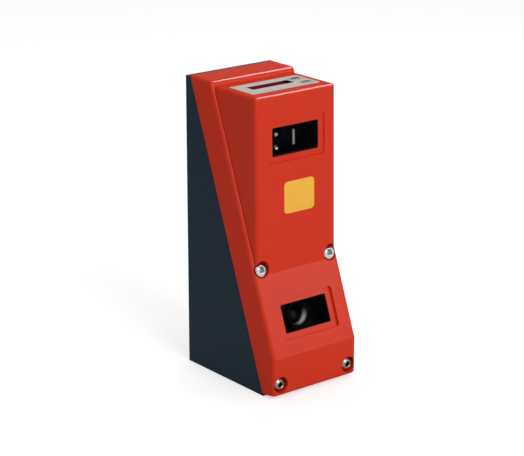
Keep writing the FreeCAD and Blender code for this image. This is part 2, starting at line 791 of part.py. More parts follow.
post_threads = sketch(cover, "post_threads", "XY", z="display_board_top")
circles(post_threads, POST_SPOTS, "tiny_thread + 2 * fit_gap")
cut(cover, post_threads, "post_length + post_thread_rise", back=True)

upper_cover_screws = screws("upper_cover_screws", SLOPE, "XZ", UPPER_SPOTS, "upper_seat", "screw_thread",
                            "screw_head", "screw_head_height", "upper_screw_length")
lower_cover_screws = screws("lower_cover_screws", UPRIGHT, "XZ", LOWER_SPOTS, "-front - lower_seat_depth",
                            "screw_thread", "screw_head", "screw_head_height", "lower_screw_length")


def window_set(side, frame, surface, level, reach):
    """The pane behind a window opening, the seal in front of it and the light shroud behind it."""
    pane = start(side + "_window", frame)
    face = sketch(pane, side + "_pane", "XZ", z=f"{surface} - pane_depth")
    rounded_rectangle(face, "0", level, "pane_width", "pane_height", "recess_round")
    pad(pane, face, "pane_thickness")
    seal = start(side + "_window_seal", frame)
    ring = sketch(seal, side + "_seal_ring", "XZ", z=f"{surface} - cover_wall - pane_seal")
    rounded_rectangle(ring, "0", level, "pane_width", "pane_height", "recess_round")
    rounded_rectangle(ring, "0", level, "window_width + 2 * pane_seal_lip",
                      "window_height + 2 * pane_seal_lip", "recess_round")
    pad(seal, ring, "pane_seal")
    shroud = start(side + "_shroud", frame)
    tube = sketch(shroud, side + "_tube", "XZ", z=f"{surface} - pane_depth")
    for wall in ("0", "2 * shroud_wall"):
        rectangle(tube, "0", level, f"window_width + 2 * shroud_margin + {wall}",
                  f"window_height + 2 * shroud_margin + {wall}")
    pad(shroud, tube, reach, back=True)
    return [pane, seal, shroud]


receiver_pieces = window_set("receiver", SLOPE, "slab_thickness", "receiver_slope",
                             "receiver_pane + carrier_drop")
transmitter_pieces = window_set("transmitter", HEAD, "0", "transmitter_rise", "transmitter_shroud")

# Laser: a wedge-shaped mount on the carrier, the diode in its barrel and the rod lens that spreads the line
LASER_SPOT = [("laser_x", "laser_rise")]
mount = start("laser_mount")
mount_low = "crease_height + transmitter_rise - mount_height / 2"
mount_high = "crease_height + transmitter_rise + mount_height / 2"
mount_block = sketch(mount, "mount_block", "YZ")
outline(mount_block, [
    (head_y(mount_low, "-mount_depth"), mount_low), (head_y(mount_high, "-mount_depth"), mount_high),
    (sloped_y(mount_high, "-carrier_drop"), mount_high), (sloped_y(mount_low, "-carrier_drop"), mount_low),
])
pad(mount, mount_block, "mount_width", both=True)
mount_bore = head_sketch(mount, "mount_bore", "-mount_depth - module_setback")
circles(mount_bore, LASER_SPOT, "module_diameter + 2 * fit_gap")
cut(mount, mount_bore, "body_depth")
mount_aperture = head_sketch(mount, "mount_aperture", "-mount_depth")
circles(mount_aperture, LASER_SPOT, "module_aperture")
cut(mount, mount_aperture, "module_setback + breakout")
lens_slot = head_sketch(mount, "lens_slot", "-mount_depth")
rectangle(lens_slot, *LASER_SPOT[0], "line_lens_diameter + 2 * fit_gap",
          "line_lens_length + 2 * fit_gap")
cut(mount, lens_slot, "line_lens_slot")
clip_threads = head_sketch(mount, "clip_threads", "-mount_depth")
circles(clip_threads, CLIP_SPOTS, "tiny_thread + 2 * fit_gap")
cut(mount, clip_threads, "clip_thread_depth")
mount_threads = sloped_sketch(mount, "mount_threads", "-carrier_drop")
circles(mount_threads, MOUNT_SPOTS, "small_thread + 2 * fit_gap")
cut(mount, mount_threads, "mount_thread_depth", back=True)

BARREL_FACE = "mount_depth + module_setback"
BARREL_END = f"{BARREL_FACE} + module_length"
DIODE_SEAT = f"{BARREL_END} - diode_flange_thickness"
DIODE_FACE = f"{DIODE_SEAT} - diode_can_length"
laser_barrel = start("laser_barrel", HEAD)
barrel_turn = sketch(laser_barrel, "barrel_turn", "YZ", y="laser_rise", z="laser_x")
outline(barrel_turn, [
    (BARREL_FACE, "module_aperture / 2"), (BARREL_FACE, "module_diameter / 2"),
    (BARREL_END, "module_diameter / 2"), (BARREL_END, "diode_flange / 2 + fit_gap"),
    (DIODE_SEAT, "diode_flange / 2 + fit_gap"), (DIODE_SEAT, "diode_can / 2 + fit_gap"),
    (f"{DIODE_FACE} - diode_room", "diode_can / 2 + fit_gap"),
    (f"{DIODE_FACE} - diode_room", "module_aperture / 2"),
])
revolve(laser_barrel, barrel_turn)
laser_diode = start("laser_diode", HEAD)
diode_turn = sketch(laser_diode, "diode_turn", "YZ", y="laser_rise", z="laser_x")
outline(diode_turn, [
    (DIODE_FACE, "0"), (DIODE_FACE, "diode_can / 2"), (DIODE_SEAT, "diode_can / 2"),
    (DIODE_SEAT, "diode_flange / 2"), (BARREL_END, "diode_flange / 2"), (BARREL_END, "0"),
])
revolve(laser_diode, diode_turn)
diode_pins = sketch(laser_diode, "diode_pins", "XZ", z=f"-({BARREL_END})")
circles(diode_pins, [(f"laser_x + {step} * diode_pin_pitch", "laser_rise") for step in (-1, 0, 1)],
        "diode_pin")
pad(laser_diode, diode_pins, "diode_pin_length", back=True)
line_lens = start("line_lens", HEAD)
rod = sketch(line_lens, "rod", "XY", z="laser_rise - line_lens_length / 2")
circles(rod, [("laser_x", "mount_depth + line_lens_slot - fit_gap - line_lens_diameter / 2")],
        "line_lens_diameter")
pad(line_lens, rod, "line_lens_length")
lens_clip = start("line_lens_clip", HEAD)
clip_right = "(laser_x - line_lens_diameter / 2 - 2 * fit_gap)"
clip_plate = sketch(lens_clip, "clip_plate", "XZ", z="-mount_depth")
rectangle(clip_plate, f"({clip_right} - clip_left) / 2", "laser_rise",
          f"{clip_right} + clip_left", "clip_height")
circles(clip_plate, CLIP_SPOTS, "tiny_thread + 2 * fit_gap")
pad(lens_clip, clip_plate, "clip_thickness")
clip_screws = screws("line_lens_clip_screws", HEAD, "XZ", CLIP_SPOTS, "clip_thickness - mount_depth",
                     "tiny_thread", "tiny_head", "tiny_head_height",
                     "clip_thickness + clip_thread_depth - tip_room")

# Optics carrier: the plate that keeps the laser and the camera in line
carrier = start("optics_carrier", SLOPE)
carrier_plate = sketch(carrier, "carrier_plate", "XZ", z="carrier_back")
rectangle(carrier_plate, "0", "(carrier_low + carrier_high) / 2", "carrier_width",
          "carrier_high - carrier_low")
pad(carrier, carrier_plate, "carrier_thickness")
carrier_ears = sketch(carrier, "carrier_ears", "XZ", z="carrier_back")
for level in ("carrier_ear_low", "carrier_ear_high"):
    rectangle(carrier_ears, "0", level, "carrier_ear_span", "carrier_ear_height")
pad(carrier, carrier_ears, "carrier_thickness")
carrier_holes = sketch(carrier, "carrier_holes", "XZ", z="-carrier_drop")
circles(carrier_holes, CARRIER_SPOTS + MOUNT_SPOTS + HOLDER_SPOTS, "small_thread + 2 * fit_gap")
circles(carrier_holes, [("0", "receiver_slope")], "holder_tube + 2 * fit_gap")
cut(carrier, carrier_holes, "carrier_thickness + breakout")
carrier_screws = screws("carrier_screws", SLOPE, "XZ", CARRIER_SPOTS, "-carrier_drop", "small_thread",
                        "small_head", "small_head_height",
                        "carrier_thickness + carrier_boss_depth - thread_end - tip_room")
mount_screws = screws("laser_mount_screws", SLOPE, "XZ", MOUNT_SPOTS, "carrier_back", "small_thread",
                      "small_head", "small_head_height", "carrier_thickness + mount_thread_depth - tip_room",
                      down=True)

# Camera: a lens in a locked barrel, its holder, filter, image chip and board
lens_barrel = start("lens_barrel", SLOPE)
lens_turn = sketch(lens_barrel, "lens_turn", "YZ", y="receiver_slope")
outline(lens_turn, [
    ("-barrel_front", "barrel_mouth / 2"), ("-barrel_front", "barrel_hood / 2"), ("0", "barrel_hood / 2"),
    ("0", "barrel_thread / 2 - fit_gap"), ("barrel_tail", "barrel_thread / 2 - fit_gap"),
    ("barrel_tail", "barrel_bore / 2"), ("-lens_seat", "barrel_bore / 2"),
    ("-lens_seat", "lens_diameter / 2"), ("-lens_seat - lens_edge", "lens_diameter / 2"),
])
revolve(lens_barrel, lens_turn)
front_lens = start("front_lens", SLOPE)
lens_profile = sketch(front_lens, "lens_profile", "YZ", y="receiver_slope")
LENS_BACK = "-lens_seat"
LENS_RIM = "-lens_seat - lens_edge"
LENS_HALF = "(lens_diameter / 2 - fit_gap)"
LENS_CORNERS = [
    (f"{LENS_RIM} - lens_bulge_height", "0"), (LENS_BACK, "0"),
    (LENS_BACK, LENS_HALF), (LENS_RIM, LENS_HALF),
]
for index in range(3):
    edge = lens_profile.addGeometry(Part.LineSegment(at(LENS_CORNERS[index]), at(LENS_CORNERS[index + 1])))
    pin(lens_profile, edge, 1, *LENS_CORNERS[index])
    pin(lens_profile, edge, 2, *LENS_CORNERS[index + 1])
lens_radius = f"(({LENS_HALF} ^ 2 + lens_bulge_height ^ 2) / (2 * lens_bulge_height))"
rim = at(LENS_CORNERS[3])
apex = at(LENS_CORNERS[0])
centre = Vector(apex.x + value(lens_radius), 0, 0)
bow = centre + (rim + apex - centre * 2).normalize() * value(lens_radius)
arc = lens_profile.addGeometry(Part.Arc(rim, bow, apex))
lens_profile.addConstraint(Sketcher.Constraint("Coincident", 2, 2, arc, 1))
lens_profile.addConstraint(Sketcher.Constraint("Coincident", arc, 2, 0, 1))
limit(lens_profile, Sketcher.Constraint("Radius", arc, value(lens_radius)), lens_radius)
revolve(front_lens, lens_profile)
lock_ring = start("lens_lock_ring", SLOPE)
ring_turn = sketch(lock_ring, "ring_turn", "YZ", y="receiver_slope")
outline(ring_turn, [
    ("0", "barrel_thread / 2"), ("0", "lock_ring_diameter / 2"),
    ("carrier_drop", "lock_ring_diameter / 2"), ("carrier_drop", "barrel_thread / 2"),
])
revolve(lock_ring, ring_turn)
holder = start("lens_holder", SLOPE)
holder_turn = sketch(holder, "holder_turn", "YZ", y="receiver_slope")
outline(holder_turn, [
    ("carrier_drop", "barrel_thread / 2"), ("carrier_drop", "holder_tube / 2"),
    ("holder_end", "holder_tube / 2"), ("holder_end", "holder_bore / 2"),
    ("holder_thread_end", "holder_bore / 2"), ("holder_thread_end", "barrel_thread / 2"),
])
revolve(holder, holder_turn)
for name, inside, lift in (("holder_flange", "barrel_thread", "carrier_back - holder_flange"),
                           ("board_flange", "holder_bore", "-holder_end")):
    flange = sketch(holder, name, "XZ", z=lift)
    rectangle(flange, "0", "receiver_slope", name + "_width", name + "_height")
    circles(flange, [("0", "receiver_slope")], f"(holder_tube + {inside}) / 2")
    pad(holder, flange, "holder_flange")
holder_holes = sketch(holder, "holder_holes", "XZ", z="carrier_back")
circles(holder_holes, HOLDER_SPOTS, "small_thread + 2 * fit_gap")
cut(holder, holder_holes, "holder_flange + breakout")
camera_threads = sketch(holder, "camera_threads", "XZ", z="-holder_end")
circles(camera_threads, CAMERA_SPOTS, "tiny_thread + 2 * fit_gap")
cut(holder, camera_threads, "holder_flange - tiny_thread_end", back=True)
holder_screws = screws("lens_holder_screws", SLOPE, "XZ", HOLDER_SPOTS, "carrier_back - holder_flange",
                       "small_thread", "small_head", "small_head_height",
                       "holder_flange + carrier_thickness - tiny_thread_end", down=True)
light_filter = start("light_filter", SLOPE)
filter_disc = sketch(light_filter, "filter_disc", "XZ", z="-holder_thread_end - filter_thickness")
circles(filter_disc, [("0", "receiver_slope")], "holder_bore - 2 * fit_gap")
pad(light_filter, filter_disc, "filter_thickness")
image_chip = start("image_chip", SLOPE)
chip = sketch(image_chip, "chip", "XZ", z="-holder_end")
rectangle(chip, "0", "receiver_slope", "chip_width", "chip_height")
pad(image_chip, chip, "chip_thickness")
camera_board = start("camera_board", SLOPE)
camera_plate = sketch(camera_board, "camera_plate", "XZ", z="-holder_end - board_thickness")
rectangle(camera_plate, "0", "receiver_slope", "camera_board_width", "camera_board_height")
circles(camera_plate, CAMERA_SPOTS, "tiny_thread + 2 * fit_gap")
pad(camera_board, camera_plate, "board_thickness")
camera_screws = screws("camera_board_screws", SLOPE, "XZ", CAMERA_SPOTS, "-holder_end - board_thickness",
                       "tiny_thread", "tiny_head", "tiny_head_height",
                       "board_thickness + holder_flange - 2 * tiny_thread_end", down=True)

# Main board on the rear wall, its processor cooled through a pad by the back of the groove
main_board = start("main_board")
main_plate = sketch(main_board, "main_plate", "XZ", z="-board_face")
rectangle(main_plate, "0", "(main_board_low + main_board_high) / 2", "main_board_width",
          "main_board_high - main_board_low")
circles(main_plate, BOARD_SPOTS, "small_thread + 2 * fit_gap")
pad(main_board, main_plate, "board_thickness")
main_screws = screws("main_board_screws", UPRIGHT, "XZ", BOARD_SPOTS, "board_thickness - board_face",
                     "small_thread", "small_head", "small_head_height",
                     "board_thickness + board_standoff - thread_end - tip_room")
processor = start("processor")
processor_block = sketch(processor, "processor_block", "XZ", z="-board_face")
rectangle(processor_block, "0", "processor_level", "processor_size", "processor_size")
pad(processor, processor_block, "processor_height", back=True)
thermal_pad = start("thermal_pad")
pad_block = sketch(thermal_pad, "pad_block", "XZ", z="-board_face - processor_height")
rectangle(pad_block, "0", "processor_level", "processor_size", "processor_size")
pad(thermal_pad, pad_block, "board_standoff - groove_depth - processor_height", back=True)

# Cable ports: a plug for the supply, a four-way and an eight-way socket
FLANGE_FACE = "port_seal + port_flange_thickness"


def ring_spots(count):
    """Contact places evenly round the contact circle."""
    turns = [360 * step / count for step in range(count)]
    return [(f"pin_circle / 2 * cos({turn} deg)", f"pin_circle / 2 * sin({turn} deg)") for turn in turns]


def port(name, spot, contacts, socket):
    """Shell, insert and contacts of one port; a socket has its thread inside, a plug has it outside."""
    place = (spot[0], "rear", spot[1], None)
    shell = start(name + "_shell", place)
    shell_turn = sketch(shell, name + "_turn", "YZ")
    neck = [("-port_neck_length", "port_bore / 2"), ("-port_neck_length", "port_neck / 2"),
            ("port_seal", "port_neck / 2"), ("port_seal", "port_flange / 2"),
            (FLANGE_FACE, "port_flange / 2")]
    if socket:
        nose = [(FLANGE_FACE, "socket_shell / 2"), ("port_reach", "socket_shell / 2"),
                ("port_reach", "port_core / 2"), ("port_flange_thickness", "port_core / 2"),
                ("port_flange_thickness", "port_bore / 2")]
    else:
        nose = [(FLANGE_FACE, "port_thread / 2"), ("port_reach", "port_thread / 2"),
                ("port_reach", "port_bore / 2")]
    outline(shell_turn, neck + nose)
    revolve(shell, shell_turn)
    insert = start(name + "_insert", place)
    core = sketch(insert, name + "_core", "XZ", z="port_neck_length")
    circles(core, [("0", "0")], "port_insert")
    if not socket:
        circles(core, contacts, "pin_diameter + 2 * fit_gap")
    insert_end = "port_reach - socket_recess" if socket else "port_flange_thickness"
    pad(insert, core, f"port_neck_length + {insert_end}", back=True)
    if socket:
        cups = sketch(insert, name + "_cups", "XZ", z=f"-({insert_end})")
        circles(cups, contacts, "contact_hole")
        cut(insert, cups, "contact_depth", back=True)
    pins = start(name + "_pins", place)
    wires = sketch(pins, name + "_wires", "XZ", z="rear - board_face")
    circles(wires, contacts, "pin_diameter")
    wire_end = "- port_neck_length" if socket else "+ pin_reach"
    pad(pins, wires, f"rear - board_face {wire_end}", back=True)
    return [shell, insert, pins]


port_pieces = (port("supply_port", PORT_SPOTS[0], [("0", "0")] + ring_spots(7), False)
               + port("network_port", PORT_SPOTS[1], ring_spots(4), True)
               + port("encoder_port", PORT_SPOTS[2], [("0", "0")] + ring_spots(7), True))
port_seals = start("port_seals")
seal_rings = sketch(port_seals, "seal_rings", "XZ", z="-rear")
circles(seal_rings, PORT_SPOTS, "port_flange - 2 * port_seal_inset")
circles(seal_rings, PORT_SPOTS, "port_neck + 2 * fit_gap")
pad(port_seals, seal_rings, "port_seal", back=True)
port_nuts = start("port_nuts")
nut_rings = sketch(port_nuts, "nut_rings", "XZ", z="-inner_rear")
hexagons(nut_rings, PORT_SPOTS, "port_nut")
circles(nut_rings, PORT_SPOTS, "port_neck + 2 * fit_gap")
pad(port_nuts, nut_rings, "port_nut_thickness")

# Display and keys
overlay = start("keypad_overlay")
film = sketch(overlay, "film", "XY", z="head_top - overlay_thickness")
rounded_rectangle(film, "0", "overlay_y", "overlay_width", "overlay_depth", "overlay_round")
rectangle(film, "display_x", "display_y", "display_width", "display_depth")
for level in KEYS.values():
    rectangle(film, "key_x", level, "key_width + 2 * key_gap", "key_depth + 2 * key_gap")
pad(overlay, film, "overlay_thickness")
display_window = start("display_window")
display_pane = sketch(display_window, "display_pane", "XY", z="head_ceiling")
rectangle(display_pane, "display_x", "display_y", "display_width", "display_depth")
pad(display_window, display_pane, "cover_wall - overlay_thickness")
keys = []
for label, level in KEYS.items():
    key = start(label)
    cap = sketch(key, label + "_cap", "XY", z="head_ceiling")
    rounded_rectangle(cap, "key_x", level, "key_width", "key_depth", "overlay_round")
    pad(key, cap, "cover_wall + key_proud")
    flange = sketch(key, label + "_rim", "XY", z="head_ceiling")
    rectangle(flange, "key_x", level, "key_width + 2 * key_rim", "key_depth + 2 * key_rim")
    pad(key, flange, "key_rim_thickness", back=True)
    keys.append(key)
domes = start("snap_domes")
dome_bases = sketch(domes, "dome_bases", "XY", z="display_board_top")
circles(dome_bases, [("key_x", level) for level in KEYS.values()], "dome_diameter")
pad(domes, dome_bases, "dome_height").setExpression("TaperAngle", bind("-dome_slope * 1 deg"))
display_module = start("display_module")
module_block = sketch(display_module, "module_block", "XY", z="display_board_top")
rectangle(module_block, "display_x", "display_y", "display_width + 2 * module_margin", "module_depth")
pad(display_module, module_block, "module_height")
display_board = start("display_board")
display_plate = sketch(display_board, "display_plate", "XY", z="display_board_top - board_thickness")
rectangle(display_plate, "0", "display_board_front + display_board_depth / 2", "display_board_width",
          "display_board_depth")
circles(display_plate, POST_SPOTS, "tiny_thread + 2 * fit_gap")
pad(display_board, display_plate, "board_thickness")
display_screws = screws("display_board_screws", UPRIGHT, "XY", POST_SPOTS,
                        "display_board_top - board_thickness", "tiny_thread", "tiny_head", "tiny_head_height",
                        "board_thickness + post_length + post_thread_rise - tiny_thread_end", down=True)

NODES = [
    frame, cover, cover_seal, upper_cover_screws, lower_cover_screws, *transmitter_pieces, *receiver_pieces,
    overlay, display_window, *keys, domes, display_module, display_board, display_screws,
    carrier, carrier_screws, mount, mount_screws, laser_barrel, laser_diode, line_lens, lens_clip,
    clip_screws, lens_barrel, front_lens, lock_ring, holder, holder_screws, light_filter, image_chip,
    camera_board, camera_screws, main_board, main_screws, processor, thermal_pad,
    *port_pieces, port_seals, port_nuts,
]
doc.recompute()
for item in doc.Objects:
    if "Invalid" in item.State or "Error" in item.State:
        raise RuntimeError(f"{item.Name} did not build: {item.State}")
os.makedirs("parts", exist_ok=True)
for node in NODES:
    if node.Shape.isNull() or not node.Shape.isValid():
        raise RuntimeError(f"{node.Label} has no sound shape")
    node.Shape.exportStep(f"parts/{node.Label}.step")
print(len(NODES), "nodes written")
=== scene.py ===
# %% [markdown]
# # A laser profile sensor, dressed
# The solids of the sensor come from its CAD model, in metres, with the middle of the base at the
# origin. This lesson gives each solid its finish, adds the small forms that the CAD model leaves
# plain, such as threads and screw drives, and then sets up light and a camera. The dressed sensor
# has to stay inside it.

# %% Load the frame
import json
import math

import bmesh
import bpy
import numpy as np
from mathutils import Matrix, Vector


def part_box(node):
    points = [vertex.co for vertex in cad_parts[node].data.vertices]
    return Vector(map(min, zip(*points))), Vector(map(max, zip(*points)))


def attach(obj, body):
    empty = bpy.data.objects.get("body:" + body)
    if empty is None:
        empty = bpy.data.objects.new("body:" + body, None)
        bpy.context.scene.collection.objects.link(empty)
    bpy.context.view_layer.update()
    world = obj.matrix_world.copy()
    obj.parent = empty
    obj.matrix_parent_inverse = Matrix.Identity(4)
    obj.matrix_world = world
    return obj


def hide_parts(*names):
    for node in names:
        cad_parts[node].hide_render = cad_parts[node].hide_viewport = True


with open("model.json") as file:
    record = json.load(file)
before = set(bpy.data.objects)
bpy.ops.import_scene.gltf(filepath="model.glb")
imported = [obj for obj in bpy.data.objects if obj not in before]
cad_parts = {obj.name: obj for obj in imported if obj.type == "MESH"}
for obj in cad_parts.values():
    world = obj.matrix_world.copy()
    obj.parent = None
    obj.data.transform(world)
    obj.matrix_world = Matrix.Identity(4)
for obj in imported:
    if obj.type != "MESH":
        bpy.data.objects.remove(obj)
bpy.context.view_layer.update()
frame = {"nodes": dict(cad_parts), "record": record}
MM = 0.001

# %% [markdown]
# ## Colours and nodes
# Colours are given as sRGB hex values, as in any paint program, but shaders count in linear
# light, so one function converts them. A second one adds a shader node, sets its own properties
# and fills its sockets, either with a number or with another node's output. Every finish below is
# written with these two.

# %% Helpers for materials
def linear(code):
    """An sRGB hex colour as linear red, green and blue by the standard curve, with full alpha."""
    parts = np.array([int(code[start:start + 2], 16) for start in (1, 3, 5)]) / 255
    curve = np.where(parts <= 0.04045, parts / 12.92, ((parts + 0.055) / 1.055) ** 2.4)
    return (*curve.tolist(), 1.0)


def node(tree, kind, inputs=None, **settings):
    """Adds a shader node: settings are its properties, inputs are numbers or nodes' outputs."""
    made = tree.nodes.new("ShaderNode" + kind)
    for name, setting in settings.items():
        setattr(made, name, setting)
    for socket, given in (inputs or {}).items():
        if isinstance(given, bpy.types.NodeSocket):
            tree.links.new(given, made.inputs[socket])
        else:
            made.inputs[socket].default_value = given
    return made


COLOUR_A, COLOUR_B, COLOUR_OUT = 6, 7, 2  # the Mix node's sockets when it mixes colours
print("white is", linear("#FFFFFF"), "and mid grey is", linear("#808080"))

# %% [markdown]
# ## A grained surface
# Almost every surface here was moulded, cast, coated or blasted: seen close, its colour drifts
# slowly and a fine grain breaks up the gloss. One function builds that from two noise patterns.
# The slow one mixes two near colours; the fine one moves the roughness and lifts the surface by a
# real height. Both sizes are in millimetres. A grain finer than about a third of a millimetre
# would vanish in the picture, so it is drawn that coarse.

# %% The grained finish
CLOUD_DETAIL = 3.0  # layers of ever finer noise in the clouds
GRAIN_DETAIL = 2.0  # and in the grain


def grained(name, colours, cloud, grain, height, rough, sockets):
    """Clouds of two colours; a grain swings the roughness and stands height millimetres high."""
    material = bpy.data.materials.new(name)
    material.use_nodes = True
    tree = material.node_tree
    shader = tree.nodes["Principled BSDF"]
    place = node(tree, "TexCoord").outputs["Object"]
    drift = node(tree, "TexNoise", {"Vector": place, "Scale": 1 / (cloud * MM),
                                    "Detail": CLOUD_DETAIL})
    tint = node(tree, "Mix", {0: drift.outputs[0], COLOUR_A: linear(colours[0]),
                              COLOUR_B: linear(colours[1])}, data_type="RGBA")
    speck = node(tree, "TexNoise", {"Vector": place, "Scale": 1 / (grain * MM),
                                    "Detail": GRAIN_DETAIL})
    gloss = node(tree, "MapRange", {"Value": speck.outputs[0], "To Min": rough[0],
                                    "To Max": rough[1]})
    relief = node(tree, "Bump", {"Height": speck.outputs[0], "Distance": height * MM})
    tree.links.new(tint.outputs[COLOUR_OUT], shader.inputs["Base Color"])
    tree.links.new(gloss.outputs[0], shader.inputs["Roughness"])
    for normal in ("Normal", "Coat Normal"):
        tree.links.new(relief.outputs[0], shader.inputs[normal])
    for socket, number in sockets.items():
        shader.inputs[socket].default_value = number
    return material


FINISH = {}
print("grained finish ready")

# %% [markdown]
# ## The two housing shells
# The front cover is injection-moulded in red glass-filled plastic. Its mould was spark-eroded,
# which leaves a satin skin with a very fine, even grain and soft, wide highlights. The rear frame
# is cast aluminium under a dark blue-grey powder coat: the powder melts into a skin with a slight
# orange peel, a little glossier in its dips. Plain colours would look like paper here; gloss and
# grain are what tell a moulding from a casting. The satin of the cover is written as a thin coat
# over a matt body. The coat counts less at a low angle, where the fine grain scatters what a
# smooth skin would mirror, so that flat tops stay red in a bright room.

# %% Cover plastic and frame coat
STRAIGHT, SLANTING = 0.26, 0.46  # the coat fades between these; 0 is seen straight on, 1 edge on
COAT_STRAIGHT, COAT_SLANTING = 0.33, 0.13  # how much it counts at either end
FINISH["cover_plastic"] = grained(
    "spark_eroded_red_plastic", ("#C92B0C", "#D03010"), cloud=38, grain=0.42, height=0.006,
    rough=(0.13, 0.22),
    sockets={"Specular IOR Level": 0.0, "Coat IOR": 1.5, "Coat Roughness": 0.175})
red = FINISH["cover_plastic"].node_tree
steep = node(red, "LayerWeight").outputs["Facing"]
satin = node(red, "MapRange", {"Value": steep, "From Min": STRAIGHT, "From Max": SLANTING,
                               "To Min": COAT_STRAIGHT, "To Max": COAT_SLANTING})
red.links.new(satin.outputs[0], red.nodes["Principled BSDF"].inputs["Coat Weight"])
FINISH["frame_coat"] = grained(
    "dark_powder_coat", ("#081D2B", "#0D2230"), cloud=24, grain=0.9, height=0.02,
    rough=(0.42, 0.60), sockets={"IOR": 1.5, "Specular IOR Level": 0.08})
print("housing finishes:", [material.name for material in FINISH.values()])

# %% [markdown]
# ## Dark parts inside
# Light that strays inside would blind the camera chip, so everything behind the windows is dull
# black. The shrouds are moulded in matt black plastic; the laser mount and the lens barrel are
# turned or milled from aluminium and black anodised, which is dye in a thin glassy oxide: deep
# black with a soft grey sheen. The carrier plate is bead-blasted before anodising and so is a
# shade paler. Seals are black rubber with a dusty bloom, chips are cast in black epoxy with a
# faint gloss, and a soft pad of grey silicone takes the heat of the processor to the frame.

# %% Finishes of the dark parts
FINISH["black_plastic"] = grained(
    "matt_black_moulding", ("#020203", "#040405"), cloud=12, grain=0.4, height=0.012,
    rough=(0.55, 0.75), sockets={"IOR": 1.5, "Specular IOR Level": 0.01})
FINISH["black_aluminium"] = grained(
    "black_anodised_aluminium", ("#030304", "#060607"), cloud=9, grain=0.35, height=0.004,
    rough=(0.35, 0.5), sockets={"IOR": 1.6, "Specular IOR Level": 0.01})
FINISH["carrier_aluminium"] = grained(
    "blasted_anodised_plate", ("#0C0C0E", "#121214"), cloud=14, grain=0.35, height=0.010,
    rough=(0.45, 0.6), sockets={"IOR": 1.6, "Specular IOR Level": 0.04})
FINISH["seal_rubber"] = grained(
    "black_seal_rubber", ("#070707", "#0B0B0B"), cloud=8, grain=0.5, height=0.015,
    rough=(0.6, 0.8), sockets={"IOR": 1.52, "Specular IOR Level": 0.06})
FINISH["chip_black"] = grained(
    "black_epoxy_moulding", ("#121214", "#191A1C"), cloud=5, grain=0.35, height=0.006,
    rough=(0.4, 0.55), sockets={"IOR": 1.55})
FINISH["pad_grey"] = grained(
    "grey_silicone_pad", ("#7F868C", "#8C9399"), cloud=4, grain=0.6, height=0.03,
    rough=(0.6, 0.75), sockets={"IOR": 1.43})
print("with the dark parts:", len(FINISH), "finishes")

# %% [markdown]
# ## Metals
# The screws are bare stainless steel, the port shells and the laser barrel are brass under bright
# nickel, contacts are gold-plated and the snap domes are thin spring steel. A metal has no colour
# under its gloss: its reflection is the colour, so metallic is 1 and the IOR stays at its default.
# Fine rubbing marks are drawn as a coarse grain, because real ones are far thinner than a pixel.
# The screws at the foot are a darker, duller steel, whose darker colour is painted shade of the
# deep counterbores they sit in. The two that flank the camera lens are blackened in a hot salt
# bath, so that they send no light into it.

# %% Metal finishes
METAL = {"Metallic": 1.0}
FINISH["screw_steel"] = grained(
    "bare_stainless_steel", ("#B2B0AC", "#C4C2BE"), cloud=3, grain=0.35, height=0.003,
    rough=(0.18, 0.30), sockets=METAL)
# The darker colour of this steel is painted shade for the screws in the counterbores at the foot.
SHADED_STEEL = grained(
    "dull_steel_with_painted_shade", ("#77736D", "#8B8780"), cloud=2, grain=0.35, height=0.004,
    rough=(0.22, 0.36), sockets=METAL)
BLACK_STEEL = grained(
    "black_oxide_steel", ("#161617", "#1E1E1F"), cloud=2, grain=0.35, height=0.004,
    rough=(0.3, 0.45), sockets=METAL)
FINISH["nickel"] = grained(
    "bright_nickel_plate", ("#B7B1A4", "#C9C3B6"), cloud=6, grain=0.4, height=0.002,
    rough=(0.16, 0.28), sockets=METAL)
FINISH["contact_gold"] = grained(
    "gold_plated_contact", ("#D9A93F", "#E5B954"), cloud=2, grain=0.35, height=0.001,
    rough=(0.2, 0.3), sockets=METAL)
FINISH["dome_steel"] = grained(
    "spring_steel_dome", ("#AEB0B2", "#C3C5C7"), cloud=3, grain=0.35, height=0.002,
    rough=(0.22, 0.34), sockets=METAL)
print("with metals:", len(FINISH), "finishes")

# %% [markdown]
# ## Glass
# The window panes are polished glass with an anti-reflection coat on both faces, as optical
# instruments have, so almost no light comes back from them and the dark inside shows clearly. A
# thin flat pane does not bend the view, so a low alpha does the work of clear glass here and lets
# the lamps light what lies behind; a faint bloom of wiping marks is a slight change of roughness.
# The camera lens does bend light: it is true glass, and its coat turns the reflection dim and
# violet.

# %% Pane and lens
FINISH["window_glass"] = grained(
    "coated_window_glass", ("#0B0D10", "#101215"), cloud=30, grain=9, height=0.0,
    rough=(0.01, 0.05), sockets={"IOR": 1.52, "Alpha": 0.05, "Specular IOR Level": 0.04})
FINISH["lens_glass"] = grained(
    "coated_lens_glass", ("#10111A", "#161720"), cloud=6, grain=4, height=0.0, rough=(0.0, 0.04),
    sockets={"IOR": 1.6, "Transmission Weight": 1.0, "Specular Tint": linear("#3C3450")})
print("glass:", FINISH["window_glass"].name, FINISH["lens_glass"].name)

# %% [markdown]
# ## Circuit boards
# A board is glass-fibre laminate under green solder mask. Copper tracks lie beneath the mask as
# slightly paler, raised lines in a square layout. A brick pattern with thin joints, read at the
# pitch of a real track layout, gives those lines without drawing any one of them.

